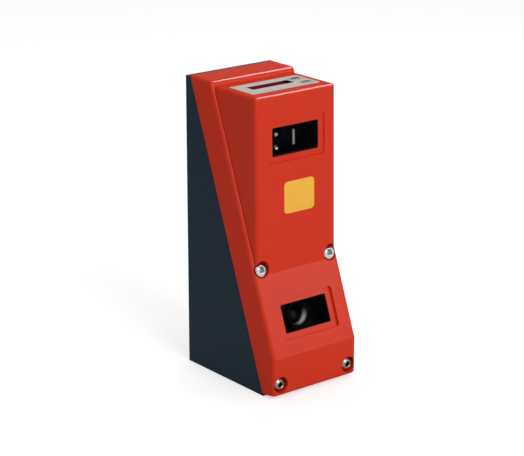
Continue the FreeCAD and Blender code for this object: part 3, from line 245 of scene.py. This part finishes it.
# %% Circuit board finish
TRACK_PITCH = 1.27
TRACK_WIDTH = 0.3
TRACK_RUN = 7  # pitches from one crossing track to the next
FINISH["circuit_board"] = grained(
    "green_solder_mask", ("#0E4A22", "#125628"), cloud=10, grain=0.4, height=0.004,
    rough=(0.25, 0.4), sockets={"IOR": 1.5})
board = FINISH["circuit_board"].node_tree
layout = node(board, "TexBrick", {
    "Vector": node(board, "TexCoord").outputs["Object"], "Scale": 1.0,
    "Brick Width": TRACK_RUN * TRACK_PITCH * MM, "Row Height": TRACK_PITCH * MM,
    "Mortar Size": TRACK_WIDTH * MM,
    "Color1": linear("#0F4D24"), "Color2": linear("#0C4420"), "Mortar": linear("#2A7A3E")})
board.links.new(layout.outputs["Color"], board.nodes["Principled BSDF"].inputs["Base Color"])
print("tracks every", TRACK_PITCH, "mm")

# %% [markdown]
# ## Printed fields
# Some surfaces carry a plain printed field, such as a bar on a key or the black end of the
# display. Each is a box in space. A Mapping node moves the box to the origin and makes it two
# units wide, and a point is inside when its largest coordinate is below one. The field's colour is
# then laid over the finish.

# %% A field and its ink
ENDLESS = 1000.0  # a box this long, in millimetres, has no ends on this object


def inside(tree, spot, size):
    """1 within a box of the given size in millimetres round a spot in metres, 0 outside it."""
    scale = 2 / (np.array(size) * MM)
    place = node(tree, "TexCoord").outputs["Object"]
    local = node(tree, "Mapping", {"Vector": place, "Scale": scale,
                                   "Location": -np.array(spot) * scale})
    away = node(tree, "VectorMath", {0: local.outputs[0]}, operation="ABSOLUTE")
    sides = node(tree, "SeparateXYZ", {0: away.outputs[0]})
    wider = node(tree, "Math", {0: sides.outputs[0], 1: sides.outputs[1]}, operation="MAXIMUM")
    widest = node(tree, "Math", {0: wider.outputs[0], 1: sides.outputs[2]}, operation="MAXIMUM")
    return node(tree, "Math", {0: widest.outputs[0], 1: 1.0}, operation="LESS_THAN").outputs[0]


def lay_ink(material, field, ink):
    """Lays an ink over a finish's own colour wherever the field is 1."""
    tree = material.node_tree
    colour = tree.nodes["Principled BSDF"].inputs["Base Color"]
    printed = node(tree, "Mix", {0: field, COLOUR_A: colour.links[0].from_socket,
                                 COLOUR_B: linear(ink)}, data_type="RGBA")
    tree.links.new(printed.outputs[COLOUR_OUT], colour)


def middle(name):
    """The middle of a solid's box."""
    low, high = (np.array(corner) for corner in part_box(name))
    return (low + high) / 2


print("display pane is centred at", middle("display_window").round(4))

# %% [markdown]
# ## The keypad film and the display
# On top of the head lies a polyester film, printed silver-grey on its underside, so the print has
# a smooth, slightly pearly skin. Two raised keys stand in it, and each carries a plain printed
# bar. The display pane is deep red plastic, because red digits read best through a red filter; the
# digits end before the pane does, and the rest is backed with black.

# %% Film and key marks
FILM = {"colours": ("#B4B0AB", "#C0BCB7"), "cloud": 14, "grain": 0.45, "height": 0.004,
        "rough": (0.30, 0.44), "sockets": {"IOR": 1.57, "Specular IOR Level": 0.06}}
FINISH["overlay_film"] = grained("silver_polyester_film", **FILM)
KEY_BAR = (5.2, 3.4, ENDLESS)  # millimetres in x, y and z
KEY_FINISH = {}
for key, ink in (("menu", "#2E2D2B"), ("enter", "#4C5652")):
    marked = grained(f"film_with_{key}_bar", **FILM)
    lay_ink(marked, inside(marked.node_tree, middle(f"{key}_key"), KEY_BAR), ink)
    KEY_FINISH[f"{key}_key"] = marked
    print(key, "key at", middle(f"{key}_key").round(4))

# %% Display pane
DARK_END = 4.3  # millimetres of the pane, at its right, with no digits behind
FINISH["display_film"] = grained(
    "deep_red_display_pane", ("#5C1620", "#681C26"), cloud=7, grain=2.5, height=0.0,
    rough=(0.08, 0.16), sockets={"IOR": 1.49, "Specular IOR Level": 0.0})
pane_low, pane_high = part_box("display_window")
dark_field = inside(FINISH["display_film"].node_tree, pane_high, (2 * DARK_END, ENDLESS, ENDLESS))
lay_ink(FINISH["display_film"], dark_field, "#0B090B")
print("digits end", DARK_END, "mm before the right end of the pane")

# %% [markdown]
# ## The rod in front of the laser
# A glass cylinder spreads the laser beam into a line. Most of it is polished and looks as dark as
# the mount behind it. A strip along its side is a painted highlight, pale grey in its colour, for
# the glint of light along the cylinder. It is a field like the printed ones, laid over the dark
# glass.

# %% Rod finish
HIGHLIGHT_STRIP_SIDE = np.array([-0.48, 0, 0]) * MM  # from the rod's axis to the middle of the strip
HIGHLIGHT_STRIP_WIDTH = 1.05
ROD_GLASS = grained(
    "glass_rod_with_painted_highlight_strip", ("#0E0F12", "#141518"), cloud=3, grain=0.35, height=0.006,
    rough=(0.25, 0.4), sockets={"IOR": 1.5, "Specular IOR Level": 0.05})
# The pale grey ink of this strip is a painted highlight, not frosted glass.
highlight_strip = inside(ROD_GLASS.node_tree, middle("line_lens") + HIGHLIGHT_STRIP_SIDE,
               (HIGHLIGHT_STRIP_WIDTH, ENDLESS, ENDLESS))
lay_ink(ROD_GLASS, highlight_strip, "#9C9D9B")
print("painted highlight strip", HIGHLIGHT_STRIP_WIDTH, "mm wide")

# %% [markdown]
# ## The lens barrel
# The barrel of the camera lens is black, and a crescent of painted highlight lies in its flared
# mouth, where light would catch the lathe-cut cone round the lens. Both are one solid, so the
# finish itself has to know where the crescent is: a Mapping node turns space until the barrel's
# axis stands upright, and the band is whatever lies at about the right distance from that axis.
# The painted highlight is strongest at the lower right, as if lit from that side, and fades away
# from there. The wedge is a cosine, the dot product of two directions, raised to a
# power.

# %% Direction of the lens
BODY_DEPTH, BODY_HEIGHT = 74, 160
COVER_FOOT = 8.8  # the plane between the shells starts this far behind the front, at the base
FRAME_TOP = 4.5  # and ends this far before the back, at the top
TILT = math.atan((BODY_DEPTH - FRAME_TOP - COVER_FOOT) / BODY_HEIGHT)
SLOPE_AXIS = np.array([0, -math.cos(TILT), math.sin(TILT)])
print("the slanted face leans back", round(math.degrees(TILT), 2), "degrees")

# %% Barrel finish
HIGHLIGHT_RADIUS = 5.45  # middle of the band of painted highlight
HIGHLIGHT_HALF = 0.65
LIT_SIDE = (0.75, -0.66, 0)  # to the right and down, seen along the axis
NARROW = 4  # a higher power makes the wedge of light narrower
BARREL = grained(
    "barrel_with_painted_crescent_highlight", ("#030304", "#060607"), cloud=9, grain=0.35, height=0.004,
    rough=(0.3, 0.42), sockets={"IOR": 1.6, "Specular IOR Level": 0.01})
tree = BARREL.node_tree
upright = node(tree, "Mapping", {
    "Vector": node(tree, "TexCoord").outputs["Object"], "Location": middle("lens_barrel"),
    "Rotation": (math.pi / 2 - TILT, 0, 0)}, vector_type="TEXTURE")
flat = node(tree, "VectorMath", {0: upright.outputs[0], 1: (1, 1, 0)}, operation="MULTIPLY")
radius = node(tree, "VectorMath", {0: flat.outputs[0]}, operation="LENGTH").outputs["Value"]
offset = node(tree, "Math", {0: radius, 1: HIGHLIGHT_RADIUS * MM}, operation="SUBTRACT")
distance = node(tree, "Math", {0: offset.outputs[0]}, operation="ABSOLUTE")
highlight_band = node(tree, "MapRange", {"Value": distance.outputs[0], "From Max": HIGHLIGHT_HALF * MM,
                               "To Min": 1.0, "To Max": 0.0})
round_axis = node(tree, "VectorMath", {0: flat.outputs[0]}, operation="NORMALIZE")
towards_light = node(tree, "VectorMath", {0: round_axis.outputs[0], 1: LIT_SIDE},
                     operation="DOT_PRODUCT")
lit = node(tree, "Math", {0: towards_light.outputs["Value"], 1: 0.0}, operation="MAXIMUM")
wedge = node(tree, "Math", {0: lit.outputs[0], 1: NARROW}, operation="POWER")
painted_highlight = node(tree, "Math", {0: highlight_band.outputs[0], 1: wedge.outputs[0]}, operation="MULTIPLY")
# The near-white ink is a painted highlight, brightest on the lit side of the mouth.
lay_ink(BARREL, painted_highlight.outputs[0], "#FFF9FD")
print("barrel axis at", middle("lens_barrel").round(4))

# %% [markdown]
# ## Hand the finishes to the solids
# The record of the part says which finish each solid has. A solid keeps its mesh and its place;
# only its material slot changes. A few solids get a finish of their own.

# %% Assign the finishes
OWN_FINISH = KEY_FINISH | {"line_lens": ROD_GLASS, "lens_barrel": BARREL,
                           "lens_holder_screws": BLACK_STEEL}
for part in frame["record"]["subparts"]:
    chosen = OWN_FINISH.get(part["node"], FINISH[part["material_slot"]])
    for slot in frame["nodes"][part["node"]].material_slots:
        slot.material = chosen

# %% [markdown]
# ## Surfaces from two parameters
# Screws, threads and films are all sheets of points: one parameter runs along a profile, the other
# goes round an axis. numpy works out all points at once as an array of rows and columns. The
# helper below joins neighbouring points with four-sided faces, closes the sheet round its columns
# (and its rows, for a ring), merges the points that meet in a pole and turns all faces outwards.

# %% From arrays to a piece
CREASE = math.radians(32)  # faces that meet at more than this stay sharp
MERGE = 1e-7  # points closer than this, in metres, become one


def piece(name, sheets, material, ring=False, body="housing"):
    """A mesh of sheets (rows, columns, xyz) closed round; ring also joins last row to first."""
    points, faces, first = [], [], 0
    for sheet in sheets:
        rows, columns, _ = sheet.shape
        index = first + np.arange(rows * columns).reshape(rows, columns)
        below = index if ring else index[:-1]
        above = np.roll(index, -1, axis=0) if ring else index[1:]
        corners = [below, np.roll(below, -1, 1), np.roll(above, -1, 1), above]
        faces.append(np.stack(corners, -1).reshape(-1, 4))
        points.append(sheet.reshape(-1, 3))
        first += rows * columns
    mesh = bpy.data.meshes.new(name)
    mesh.from_pydata(np.concatenate(points), [], np.concatenate(faces).tolist())
    work = bmesh.new()
    work.from_mesh(mesh)
    bmesh.ops.remove_doubles(work, verts=work.verts, dist=MERGE)
    bmesh.ops.recalc_face_normals(work, faces=work.faces)
    work.to_mesh(mesh)
    work.free()
    mesh.polygons.foreach_set("use_smooth", np.ones(len(mesh.polygons), dtype=bool))
    mesh.set_sharp_from_angle(angle=CREASE)
    mesh.materials.append(material)
    made = bpy.data.objects.new(name, mesh)
    bpy.context.scene.collection.objects.link(made)
    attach(made, body)
    return made


print("faces that meet at over", round(math.degrees(CREASE)), "degrees stay sharp")

# %% A profile carried round an axis
ACROSS = np.array([1.0, 0.0, 0.0])  # all axes here lie in the plane that halves the sensor
UP = np.array([0.0, 0.0, 1.0])


def angles(count):
    """As many angles as given, evenly round one full turn, as a row."""
    return np.arange(count)[None, :] * (2 * math.pi / count)


def turned(radius, along, angle, spot, axis):
    """A profile round an axis: radius cos(angle) across, radius sin(angle) up, plus along."""
    up = np.cross(axis, ACROSS)
    return (spot + (radius * np.cos(angle))[..., None] * ACROSS
            + (radius * np.sin(angle))[..., None] * up + (along + 0 * angle)[..., None] * axis)


SCREW_COLUMNS = 72
TURN = angles(SCREW_COLUMNS)
print(SCREW_COLUMNS, "columns round each screw")

# %% [markdown]
# ## Screws in sight
# Four screws hold the cover, and two tiny ones behind the upper window hold the clip of the rod.
# Their heads are low domes with a hexagon socket, and a rolled thread runs down the shank. The CAD
# model has plain cylinders there, so these pieces stand for them. A flat head would be one dull
# disc, but a dome mirrors a lamp in one small place, and that glint is what tells the eye that it
# is a screw. The socket is the same turned surface with a radius that follows a hexagon: the
# distance to a flat side, divided by the cosine of the angle from the middle of that side. The
# thread is a radius that falls and rises once per pitch, shifted by one pitch per turn. A socket
# lies in shade, so a number kept at every point of the mesh says where the socket is, and the
# steel reads it to turn darker there: that darkening is painted shade.

# %% The screw surface
ROWS_PER_PITCH = 8
THREAD_SHARE = 0.6  # depth of the thread, in pitches
DOME_ROWS = 10
SOCKET_EDGE = 0.35  # bevel round the socket
SOCKET_DRAFT = 0.97  # size of the socket's floor against its mouth
HEAD_EDGE = 0.2  # bevel under the head
TIP_EDGE, TIP_LENGTH = 0.5, 0.4  # bevel at the end of the shank
M4 = {"head": 7.0, "head_height": 3.45, "dome": 1.0, "socket": 3.0, "socket_depth": 2.2,
      "thread": 4.0, "pitch": 0.7}


def zigzag(phase):
    """0 at whole numbers, 1 halfway between them, straight in between."""
    return 1 - np.abs(2 * (phase % 1) - 1)


def screw(spot, axis, head, head_height, dome, socket, socket_depth, thread, pitch, length):
    """A screw with its head top at spot; sizes are in millimetres, along goes down the axis."""
    hexagon = socket / 2 / np.cos((TURN + math.pi / 6) % (math.pi / 3) - math.pi / 6)
    rim = socket / math.sqrt(3) + SOCKET_EDGE
    dome_radius = np.linspace(rim, head / 2, DOME_ROWS)[:, None]
    dome_drop = dome * (dome_radius ** 2 - rim ** 2) / (head ** 2 / 4 - rim ** 2)
    turns = np.arange(0, length, pitch / ROWS_PER_PITCH)[:, None]
    fade = np.clip(np.minimum(turns, length - turns) / pitch, 0, 1)
    depth = THREAD_SHARE * pitch * fade
    core = thread / 2 - depth * zigzag(turns / pitch + TURN / (2 * math.pi))
    bottom = head_height + length
    radius = np.concatenate([
        0 * TURN, hexagon * SOCKET_DRAFT, hexagon, rim + 0 * TURN, dome_radius + 0 * TURN,
        head / 2 + 0 * TURN, head / 2 - HEAD_EDGE + 0 * TURN, core,
        thread / 2 - TIP_EDGE + 0 * TURN, 0 * TURN])
    along = np.concatenate([
        [[socket_depth]], [[socket_depth]], [[SOCKET_EDGE]], [[0.0]], dome_drop,
        [[head_height - HEAD_EDGE]], [[head_height]], head_height + turns,
        [[bottom + TIP_LENGTH]], [[bottom + TIP_LENGTH]]])
    return turned(radius * MM, -along * MM, TURN, spot, axis)


print("rows and columns of a screw:", screw(np.zeros(3), UP, length=21, **M4).shape[:2])

# %% Where the heads are
TOP_BAND = 0.05  # points this close to the highest one belong to the top of a head
X, Y, Z = 0, 1, 2  # places of the coordinates in a point


def coordinates(mesh):
    """All points of a mesh as one array."""
    points = np.empty(len(mesh.vertices) * 3, np.float32)
    mesh.vertices.foreach_get("co", points)
    return points.reshape(-1, 3).astype(float)


def head_tops(name, axis, apart):
    """Middles of a solid's two screw heads, apart in X or Z: middles of boxes of top points."""
    points = coordinates(frame["nodes"][name].data)
    height = points @ axis
    top = points[height > height.max() - TOP_BAND * MM]
    beyond = top[:, apart] > middle(name)[apart]
    return [(side.min(0) + side.max(0)) / 2 for side in (top[~beyond], top[beyond])]


heads = head_tops("upper_cover_screws", SLOPE_AXIS, X)
print("upper heads are", round((heads[1] - heads[0])[X] / MM, 1), "mm apart")

# %% Dark sockets
SOCKET_SLACK = 0.01  # added to the socket's corner, so that its own points count


def mark_sockets(mesh, spots, axis, socket):
    """Keeps 1 at points no farther from a screw's axis than its socket's corners, else 0."""
    offset = coordinates(mesh)[:, None] - np.array(spots)
    away = np.linalg.norm(np.cross(offset, axis), axis=-1).min(1)
    mark = mesh.attributes.new("socket", "FLOAT", "POINT")
    reach = (socket / math.sqrt(3) + SOCKET_SLACK) * MM
    mark.data.foreach_set("value", (away < reach).astype(np.float32))


# The darker inks inside the sockets are painted shade.
for steel, socket_shade_ink in ((FINISH["screw_steel"], "#A2ABB4"), (SHADED_STEEL, "#4A4642")):
    field = node(steel.node_tree, "Attribute", attribute_name="socket").outputs["Fac"]
    lay_ink(steel, field, socket_shade_ink)
print("sockets darkened on", FINISH["screw_steel"].name, "and", SHADED_STEEL.name)

# %% Place the screws
FRONT_AXIS = np.array([0, -1.0, 0])
HEAD_LEAN = math.radians(1.037)  # the upright face leans back a little, as moulded walls do
HEAD_AXIS = np.array([0, -math.cos(HEAD_LEAN), math.sin(HEAD_LEAN)])
DOME_LIFT = 0.25  # the middle of the dome stands this far over the plain head
SMALL_HEAD = M4 | {"head": 6.4, "socket": 2.6}
TINY = {"head": 3.0, "head_height": 1.25, "dome": 0.6, "socket": 1.2, "socket_depth": 0.6,
        "thread": 1.6, "pitch": 0.35}
for label, solid, axis, apart, sizes, length, steel in (
        ("upper_screws", "upper_cover_screws", SLOPE_AXIS, X, M4, 21, FINISH["screw_steel"]),
        ("lower_screws", "lower_cover_screws", FRONT_AXIS, X, SMALL_HEAD, 17, SHADED_STEEL),
        ("clip_screws", "line_lens_clip_screws", HEAD_AXIS, Z, TINY, 4, FINISH["screw_steel"])):
    spots = head_tops(solid, axis, apart)
    sheets = [screw(spot + DOME_LIFT * MM * axis, axis, length=length, **sizes) for spot in spots]
    made = piece(label, sheets, steel)
    mark_sockets(made.data, spots, axis, sizes["socket"])
    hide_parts(solid)
    print(label, "at", [spot.round(4).tolist() for spot in spots])

# %% [markdown]
# ## Port shells
# The three round cable ports on the back are nickel-plated brass: a plug with its thread outside
# and two sockets with the thread inside. Each is a ring, so the profile is a closed loop that is
# carried round. The fine M12 thread has a pitch of 1 mm. The flanges have a straight knurl, a
# radius that dips 60 times round.

# %% The port surfaces
PORT_COLUMNS = 240
PORT_TURN = angles(PORT_COLUMNS)
PORT_AXIS = np.array([0, 1.0, 0])
KNURLS = 60
KNURL_DEPTH = 0.25
THREAD_DEPTH = 0.55
THREAD_PITCH = 1.0


def port_shell(port, loop):
    """Carries a closed loop of (along, radius, thread, knurl), in mm, round a port's axis."""
    name = f"{port}_port_shell"
    spot = middle(name)
    spot[Y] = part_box("rear_frame")[1].y
    along, radius, thread, knurl = (column[:, None] for column in loop.T)
    ridge = zigzag(along / THREAD_PITCH + PORT_TURN / (2 * math.pi))
    dip = zigzag(KNURLS * PORT_TURN / (2 * math.pi))
    radius = radius + thread * ridge - knurl * dip
    shell = turned(radius * MM, along * MM, PORT_TURN, spot, PORT_AXIS)
    made = piece(f"{port}_port_threaded", [shell], FINISH["nickel"], ring=True)
    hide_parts(name)
    print(name, "at", spot.round(4))


def threaded(start, end, radius, depth):
    """Loop points of a thread from start to end, whose depth fades in and out over one pitch."""
    rows = 1 + round(ROWS_PER_PITCH * abs(end - start) / THREAD_PITCH)
    along = np.linspace(start, end, rows)
    fade = np.clip(np.minimum(np.abs(along - start), np.abs(along - end)) / THREAD_PITCH, 0, 1)
    return np.stack([along, radius + 0 * along, depth * fade, 0 * along], -1)


print("a thread of 8 mm has", len(threaded(0, 8, 6, THREAD_DEPTH)), "rows")

# %% Place the ports
# Each row of these is along, radius, thread and knurl, in millimetres.
NECK = [[-10, 7.3, 0, 0], [0.8, 7.3, 0, 0], [0.8, 8.2, 0, 0]]
FLANGE = [[1.1, 8.5, 0, KNURL_DEPTH], [3.5, 8.5, 0, KNURL_DEPTH], [3.8, 8.2, 0, 0]]
PLUG_MOUTH = [[12, 5.4, 0, 0], [12, 4.7, 0, 0], [11.7, 4.4, 0, 0], [-10, 4.4, 0, 0]]
SOCKET_NOSE = [[3.8, 7.6, 0, 0], [11.6, 7.6, 0, 0], [12, 7.2, 0, 0], [12, 6.0, 0, 0]]
SOCKET_FLOOR = [[3, 5.45, 0, 0], [3, 4.4, 0, 0], [-10, 4.4, 0, 0]]
outer = threaded(start=3.8, end=11.4, radius=6.0, depth=-THREAD_DEPTH)
inner = threaded(start=11.4, end=3.4, radius=5.45, depth=THREAD_DEPTH)
plug = np.concatenate([NECK, FLANGE, outer, PLUG_MOUTH])
socket = np.concatenate([NECK, FLANGE, SOCKET_NOSE, inner, SOCKET_FLOOR])
for port, loop in (("supply", plug), ("network", socket), ("encoder", socket)):
    port_shell(port, loop)

# %% [markdown]
# ## Window lips and films
# Some thin forms lie on the faces. Each window seal has a soft black lip that lines its opening,
# so no red edge shows round the pane. The film of the keypad runs on over the display as a red
# window, level with the print round it. And a plain amber film patch is stuck on the upright face
# of the head. All have a rounded rectangle for an outline. One formula gives it: a small circle
# whose quarters are pushed out to the four corners, that is, half the straight side with the sign
# of the circle's own coordinate, plus the circle. A second helper sets points on a face that
# leans: across it, up it and out of it.

# %% Outlines on a leaning face
CORNER_STEPS = 96
CORNERS = (np.arange(CORNER_STEPS) + 0.5) * (2 * math.pi / CORNER_STEPS)


def rounded(half, radius):
    """Rounded rectangle: sign(circle) times (half side less radius), plus radius times circle."""
    circle = np.stack([np.cos(CORNERS), np.sin(CORNERS)], -1)
    return np.sign(circle) * (np.array(half) - radius) + radius * circle


def on_face(spot, out, flat, lift):
    """Points on a face through spot: flat (across, up) in the face and lift out of it, in mm."""
    up = np.cross(out, ACROSS)
    return spot + (flat[..., :1] * ACROSS + flat[..., 1:] * up + lift[..., None] * out) * MM


print("outline of", rounded((10, 8), 2).shape[0], "points")

# %% Window lips
OPENING = np.array([30.4, 15.2]) / 2
OPENING_ROUND = 0.75
PANE_THICK = 1.5


def lip(spot, out, reach):
    """A closed loop of (outset, lift) round the opening: a foot by the seal and a thin sleeve."""
    loop = np.array([[0.45, 0.03], [0.45, 0.37], [-0.03, 0.37], [-0.03, reach],
                     [-0.12, reach + 0.08], [-0.30, reach - 0.05], [-0.30, 0.03]])
    flat = np.stack([rounded(OPENING + outset, OPENING_ROUND + outset) for outset in loop[:, 0]])
    lift = np.repeat(loop[:, 1:], len(CORNERS), axis=1) + PANE_THICK / 2
    return on_face(spot, out, flat, lift)


for side, out, reach in (("transmitter", HEAD_AXIS, 2.7), ("receiver", SLOPE_AXIS, 1.9)):
    sleeve = lip(middle(f"{side}_window"), out, reach)
    piece(f"{side}_window_lip", [sleeve], FINISH["seal_rubber"], ring=True)
    print(side, "lip reaches", reach, "mm before the pane")

# %% Amber patch
CREASE_FRONT, CREASE_HEIGHT = -21.405, 63.3  # y and z of the foot of the upright face
PATCH_RIGHT, PATCH_HEIGHT = 1.9, 102  # x and z of the middle of the patch
PATCH_FRONT = CREASE_FRONT + (PATCH_HEIGHT - CREASE_HEIGHT) * math.tan(HEAD_LEAN)
PATCH_SPOT = np.array([PATCH_RIGHT, PATCH_FRONT, PATCH_HEIGHT]) * MM
PATCH_SIZE = np.array([20.0, 17.0])
PATCH_ROUND = 2.2
PATCH_THICK = 0.12


def thin_film(spot, out, size, radius, thick):
    """Outline times a share of 0, 1, 1, a little less and 0, while the lift goes back to front."""
    share = np.array([0, 1, 1, 0.995, 0.985, 0])[:, None, None]
    lift = np.array([0, 0, 0.5, 0.9, 1, 1])[:, None] * thick + 0 * CORNERS
    return on_face(spot, out, share * rounded(np.array(size) / 2, radius), lift)


AMBER = grained(
    "amber_vinyl_film", ("#E9AC36", "#F0B848"), cloud=9, grain=0.5, height=0.004,
    rough=(0.32, 0.46), sockets={"IOR": 1.5, "Specular IOR Level": 0.2})
patch = thin_film(PATCH_SPOT, HEAD_AXIS, PATCH_SIZE, PATCH_ROUND, PATCH_THICK)
piece("amber_patch", [patch], AMBER)
print("patch of", PATCH_SIZE, "mm at", PATCH_SPOT.round(4))

# %% Window of the keypad film
WINDOW_LIFT = 0.01  # over the display pane
WINDOW_GAP = 0.1  # less than the pane, in width and depth
WINDOW_ROUND = 0.4
WINDOW_THICK = 0.47
window_spot = middle("display_window")
window_spot[Z] = pane_high.z + WINDOW_LIFT * MM
pane_size = np.array([pane_high.x - pane_low.x, pane_high.y - pane_low.y]) / MM
window_size = pane_size - WINDOW_GAP
window = thin_film(window_spot, UP, window_size, WINDOW_ROUND, WINDOW_THICK)
piece("display_film_window", [window], FINISH["display_film"])
print("display window of", window_size.round(2), "mm")

# %% [markdown]
# ## Stage, light and camera
# The sensor stands on a plain white floor in an even bright room. Four lamps shape it. A large
# soft box in front, above the sensor, does most of the work. A smaller one, low on the right, is
# mirrored by the slanted face and gives it a sheen, and one overhead clears the tops. A long
# strip, high on the right, is there for gloss alone: the rounded edges mirror it and draw a thin
# bright line along themselves. The floor and the room look white to the camera, and to glass and
# metal too, but they light the sensor only at a plain level, so that colours render as they were
# written.

# %% Room
ROOM_LIGHT = 0.48


def seen_directly(tree):
    """1 for rays from the camera, from gloss and through glass, 0 for rays that gather light."""
    rays = node(tree, "LightPath").outputs
    gloss = node(tree, "Math", {0: rays["Is Camera Ray"], 1: rays["Is Glossy Ray"]},
                 operation="MAXIMUM")
    seen = node(tree, "Math", {0: gloss.outputs[0], 1: rays["Is Transmission Ray"]},
                operation="MAXIMUM")
    return seen.outputs[0]


world = bpy.data.worlds.new("bright_room")
bpy.context.scene.world = world
world.use_nodes = True
room = world.node_tree
level = node(room, "MapRange", {"Value": seen_directly(room), "To Min": ROOM_LIGHT,
                                "To Max": 1.0})
room.nodes["Background"].inputs["Color"].default_value = linear("#FFFFFF")
room.links.new(level.outputs[0], room.nodes["Background"].inputs["Strength"])
print("room light", ROOM_LIGHT)

# %% Floor
FLOOR_HALF = 4.0
FLOOR_LINES = 9  # of its grid, each way
FLOOR_LIFT = 0.56  # light that it adds for the camera, so that it is white beside the shadows
lines = np.linspace(-FLOOR_HALF, FLOOR_HALF, FLOOR_LINES)
across, along = np.meshgrid(lines, lines)
floor_points = np.stack([across, along, np.zeros_like(across)], -1).reshape(-1, 3)
grid = np.arange(FLOOR_LINES ** 2).reshape(FLOOR_LINES, FLOOR_LINES)
floor_faces = np.stack([grid[:-1, :-1], grid[:-1, 1:], grid[1:, 1:], grid[1:, :-1]], -1)
floor_mesh = bpy.data.meshes.new("white_floor")
floor_mesh.from_pydata(floor_points, [], floor_faces.reshape(-1, 4).tolist())
floor = bpy.data.objects.new("white_floor", floor_mesh)
bpy.context.scene.collection.objects.link(floor)
PAPER = grained(
    "matt_white_paper", ("#CACACA", "#CECECE"), cloud=300, grain=2, height=0.0, rough=(0.8, 0.9),
    sockets={"Specular IOR Level": 0.0, "Emission Color": linear("#FFFFFF")})
floor_mesh.materials.append(PAPER)
paper = PAPER.node_tree
lift = node(paper, "Math", {0: seen_directly(paper), 1: FLOOR_LIFT}, operation="MULTIPLY")
paper.links.new(lift.outputs[0], paper.nodes["Principled BSDF"].inputs["Emission Strength"])
print("floor", 2 * FLOOR_HALF, "m wide")

# %% Lamps
AIM = np.array([0.0, 0.0, 0.08])  # the middle of the sensor


def facing(spot, aim):
    """The turn that points a lamp's or a camera's -Z at aim, with its Y upwards."""
    return Vector(aim - spot).to_track_quat("-Z", "Y")


def softbox(name, spot, width, height, power):
    """A lamp of width by height metres that faces the sensor."""
    lamp = bpy.data.lights.new(name, "AREA")
    lamp.shape = "RECTANGLE"
    lamp.energy = power
    lamp.size = width
    lamp.size_y = height
    box = bpy.data.objects.new(name, lamp)
    box.location = spot
    box.rotation_euler = facing(spot, AIM).to_euler()
    bpy.context.scene.collection.objects.link(box)
    print(name, "gives", power, "W")
    return box


softbox("front_softbox", np.array([-0.12, -1.30, 0.88]), width=0.8, height=0.8, power=11.4)
softbox("sheen_softbox", np.array([0.80, -1.00, 0.45]), width=0.36, height=0.36, power=1.0)
softbox("top_softbox", np.array([0.25, 0.45, 1.40]), width=0.6, height=0.6, power=4.0)
edge_strip = softbox(
    "edge_strip", np.array([0.94, -0.22, 1.28]), width=0.95, height=0.3, power=36.0)
edge_strip.visible_diffuse = False

# %% Camera
AZIMUTH = math.radians(38.62)
ELEVATION = math.radians(17.87)
DISTANCE = 1.0
IMAGE_WIDTH = 524
FOCAL_PIXELS = 1893.3
SENSOR_WIDTH = 36.0
SIDEWAYS = -4.87 * MM
AIM_HEIGHT = 79.27 * MM
target = np.array([SIDEWAYS * math.cos(AZIMUTH), -SIDEWAYS * math.sin(AZIMUTH), AIM_HEIGHT])
towards = np.array([-math.sin(AZIMUTH) * math.cos(ELEVATION),
                    -math.cos(AZIMUTH) * math.cos(ELEVATION), math.sin(ELEVATION)])
eye = target + DISTANCE * towards
view = bpy.data.cameras.new("photo_view")
view.sensor_fit = "HORIZONTAL"
view.sensor_width = SENSOR_WIDTH
view.lens = FOCAL_PIXELS / IMAGE_WIDTH * view.sensor_width
camera = bpy.data.objects.new("photo_view", view)
camera.location = eye
camera.rotation_euler = facing(eye, target).to_euler()
bpy.context.scene.collection.objects.link(camera)
bpy.context.scene.camera = camera
bpy.context.scene.view_settings.view_transform = "Standard"
print("camera lens", round(view.lens, 1), "mm")
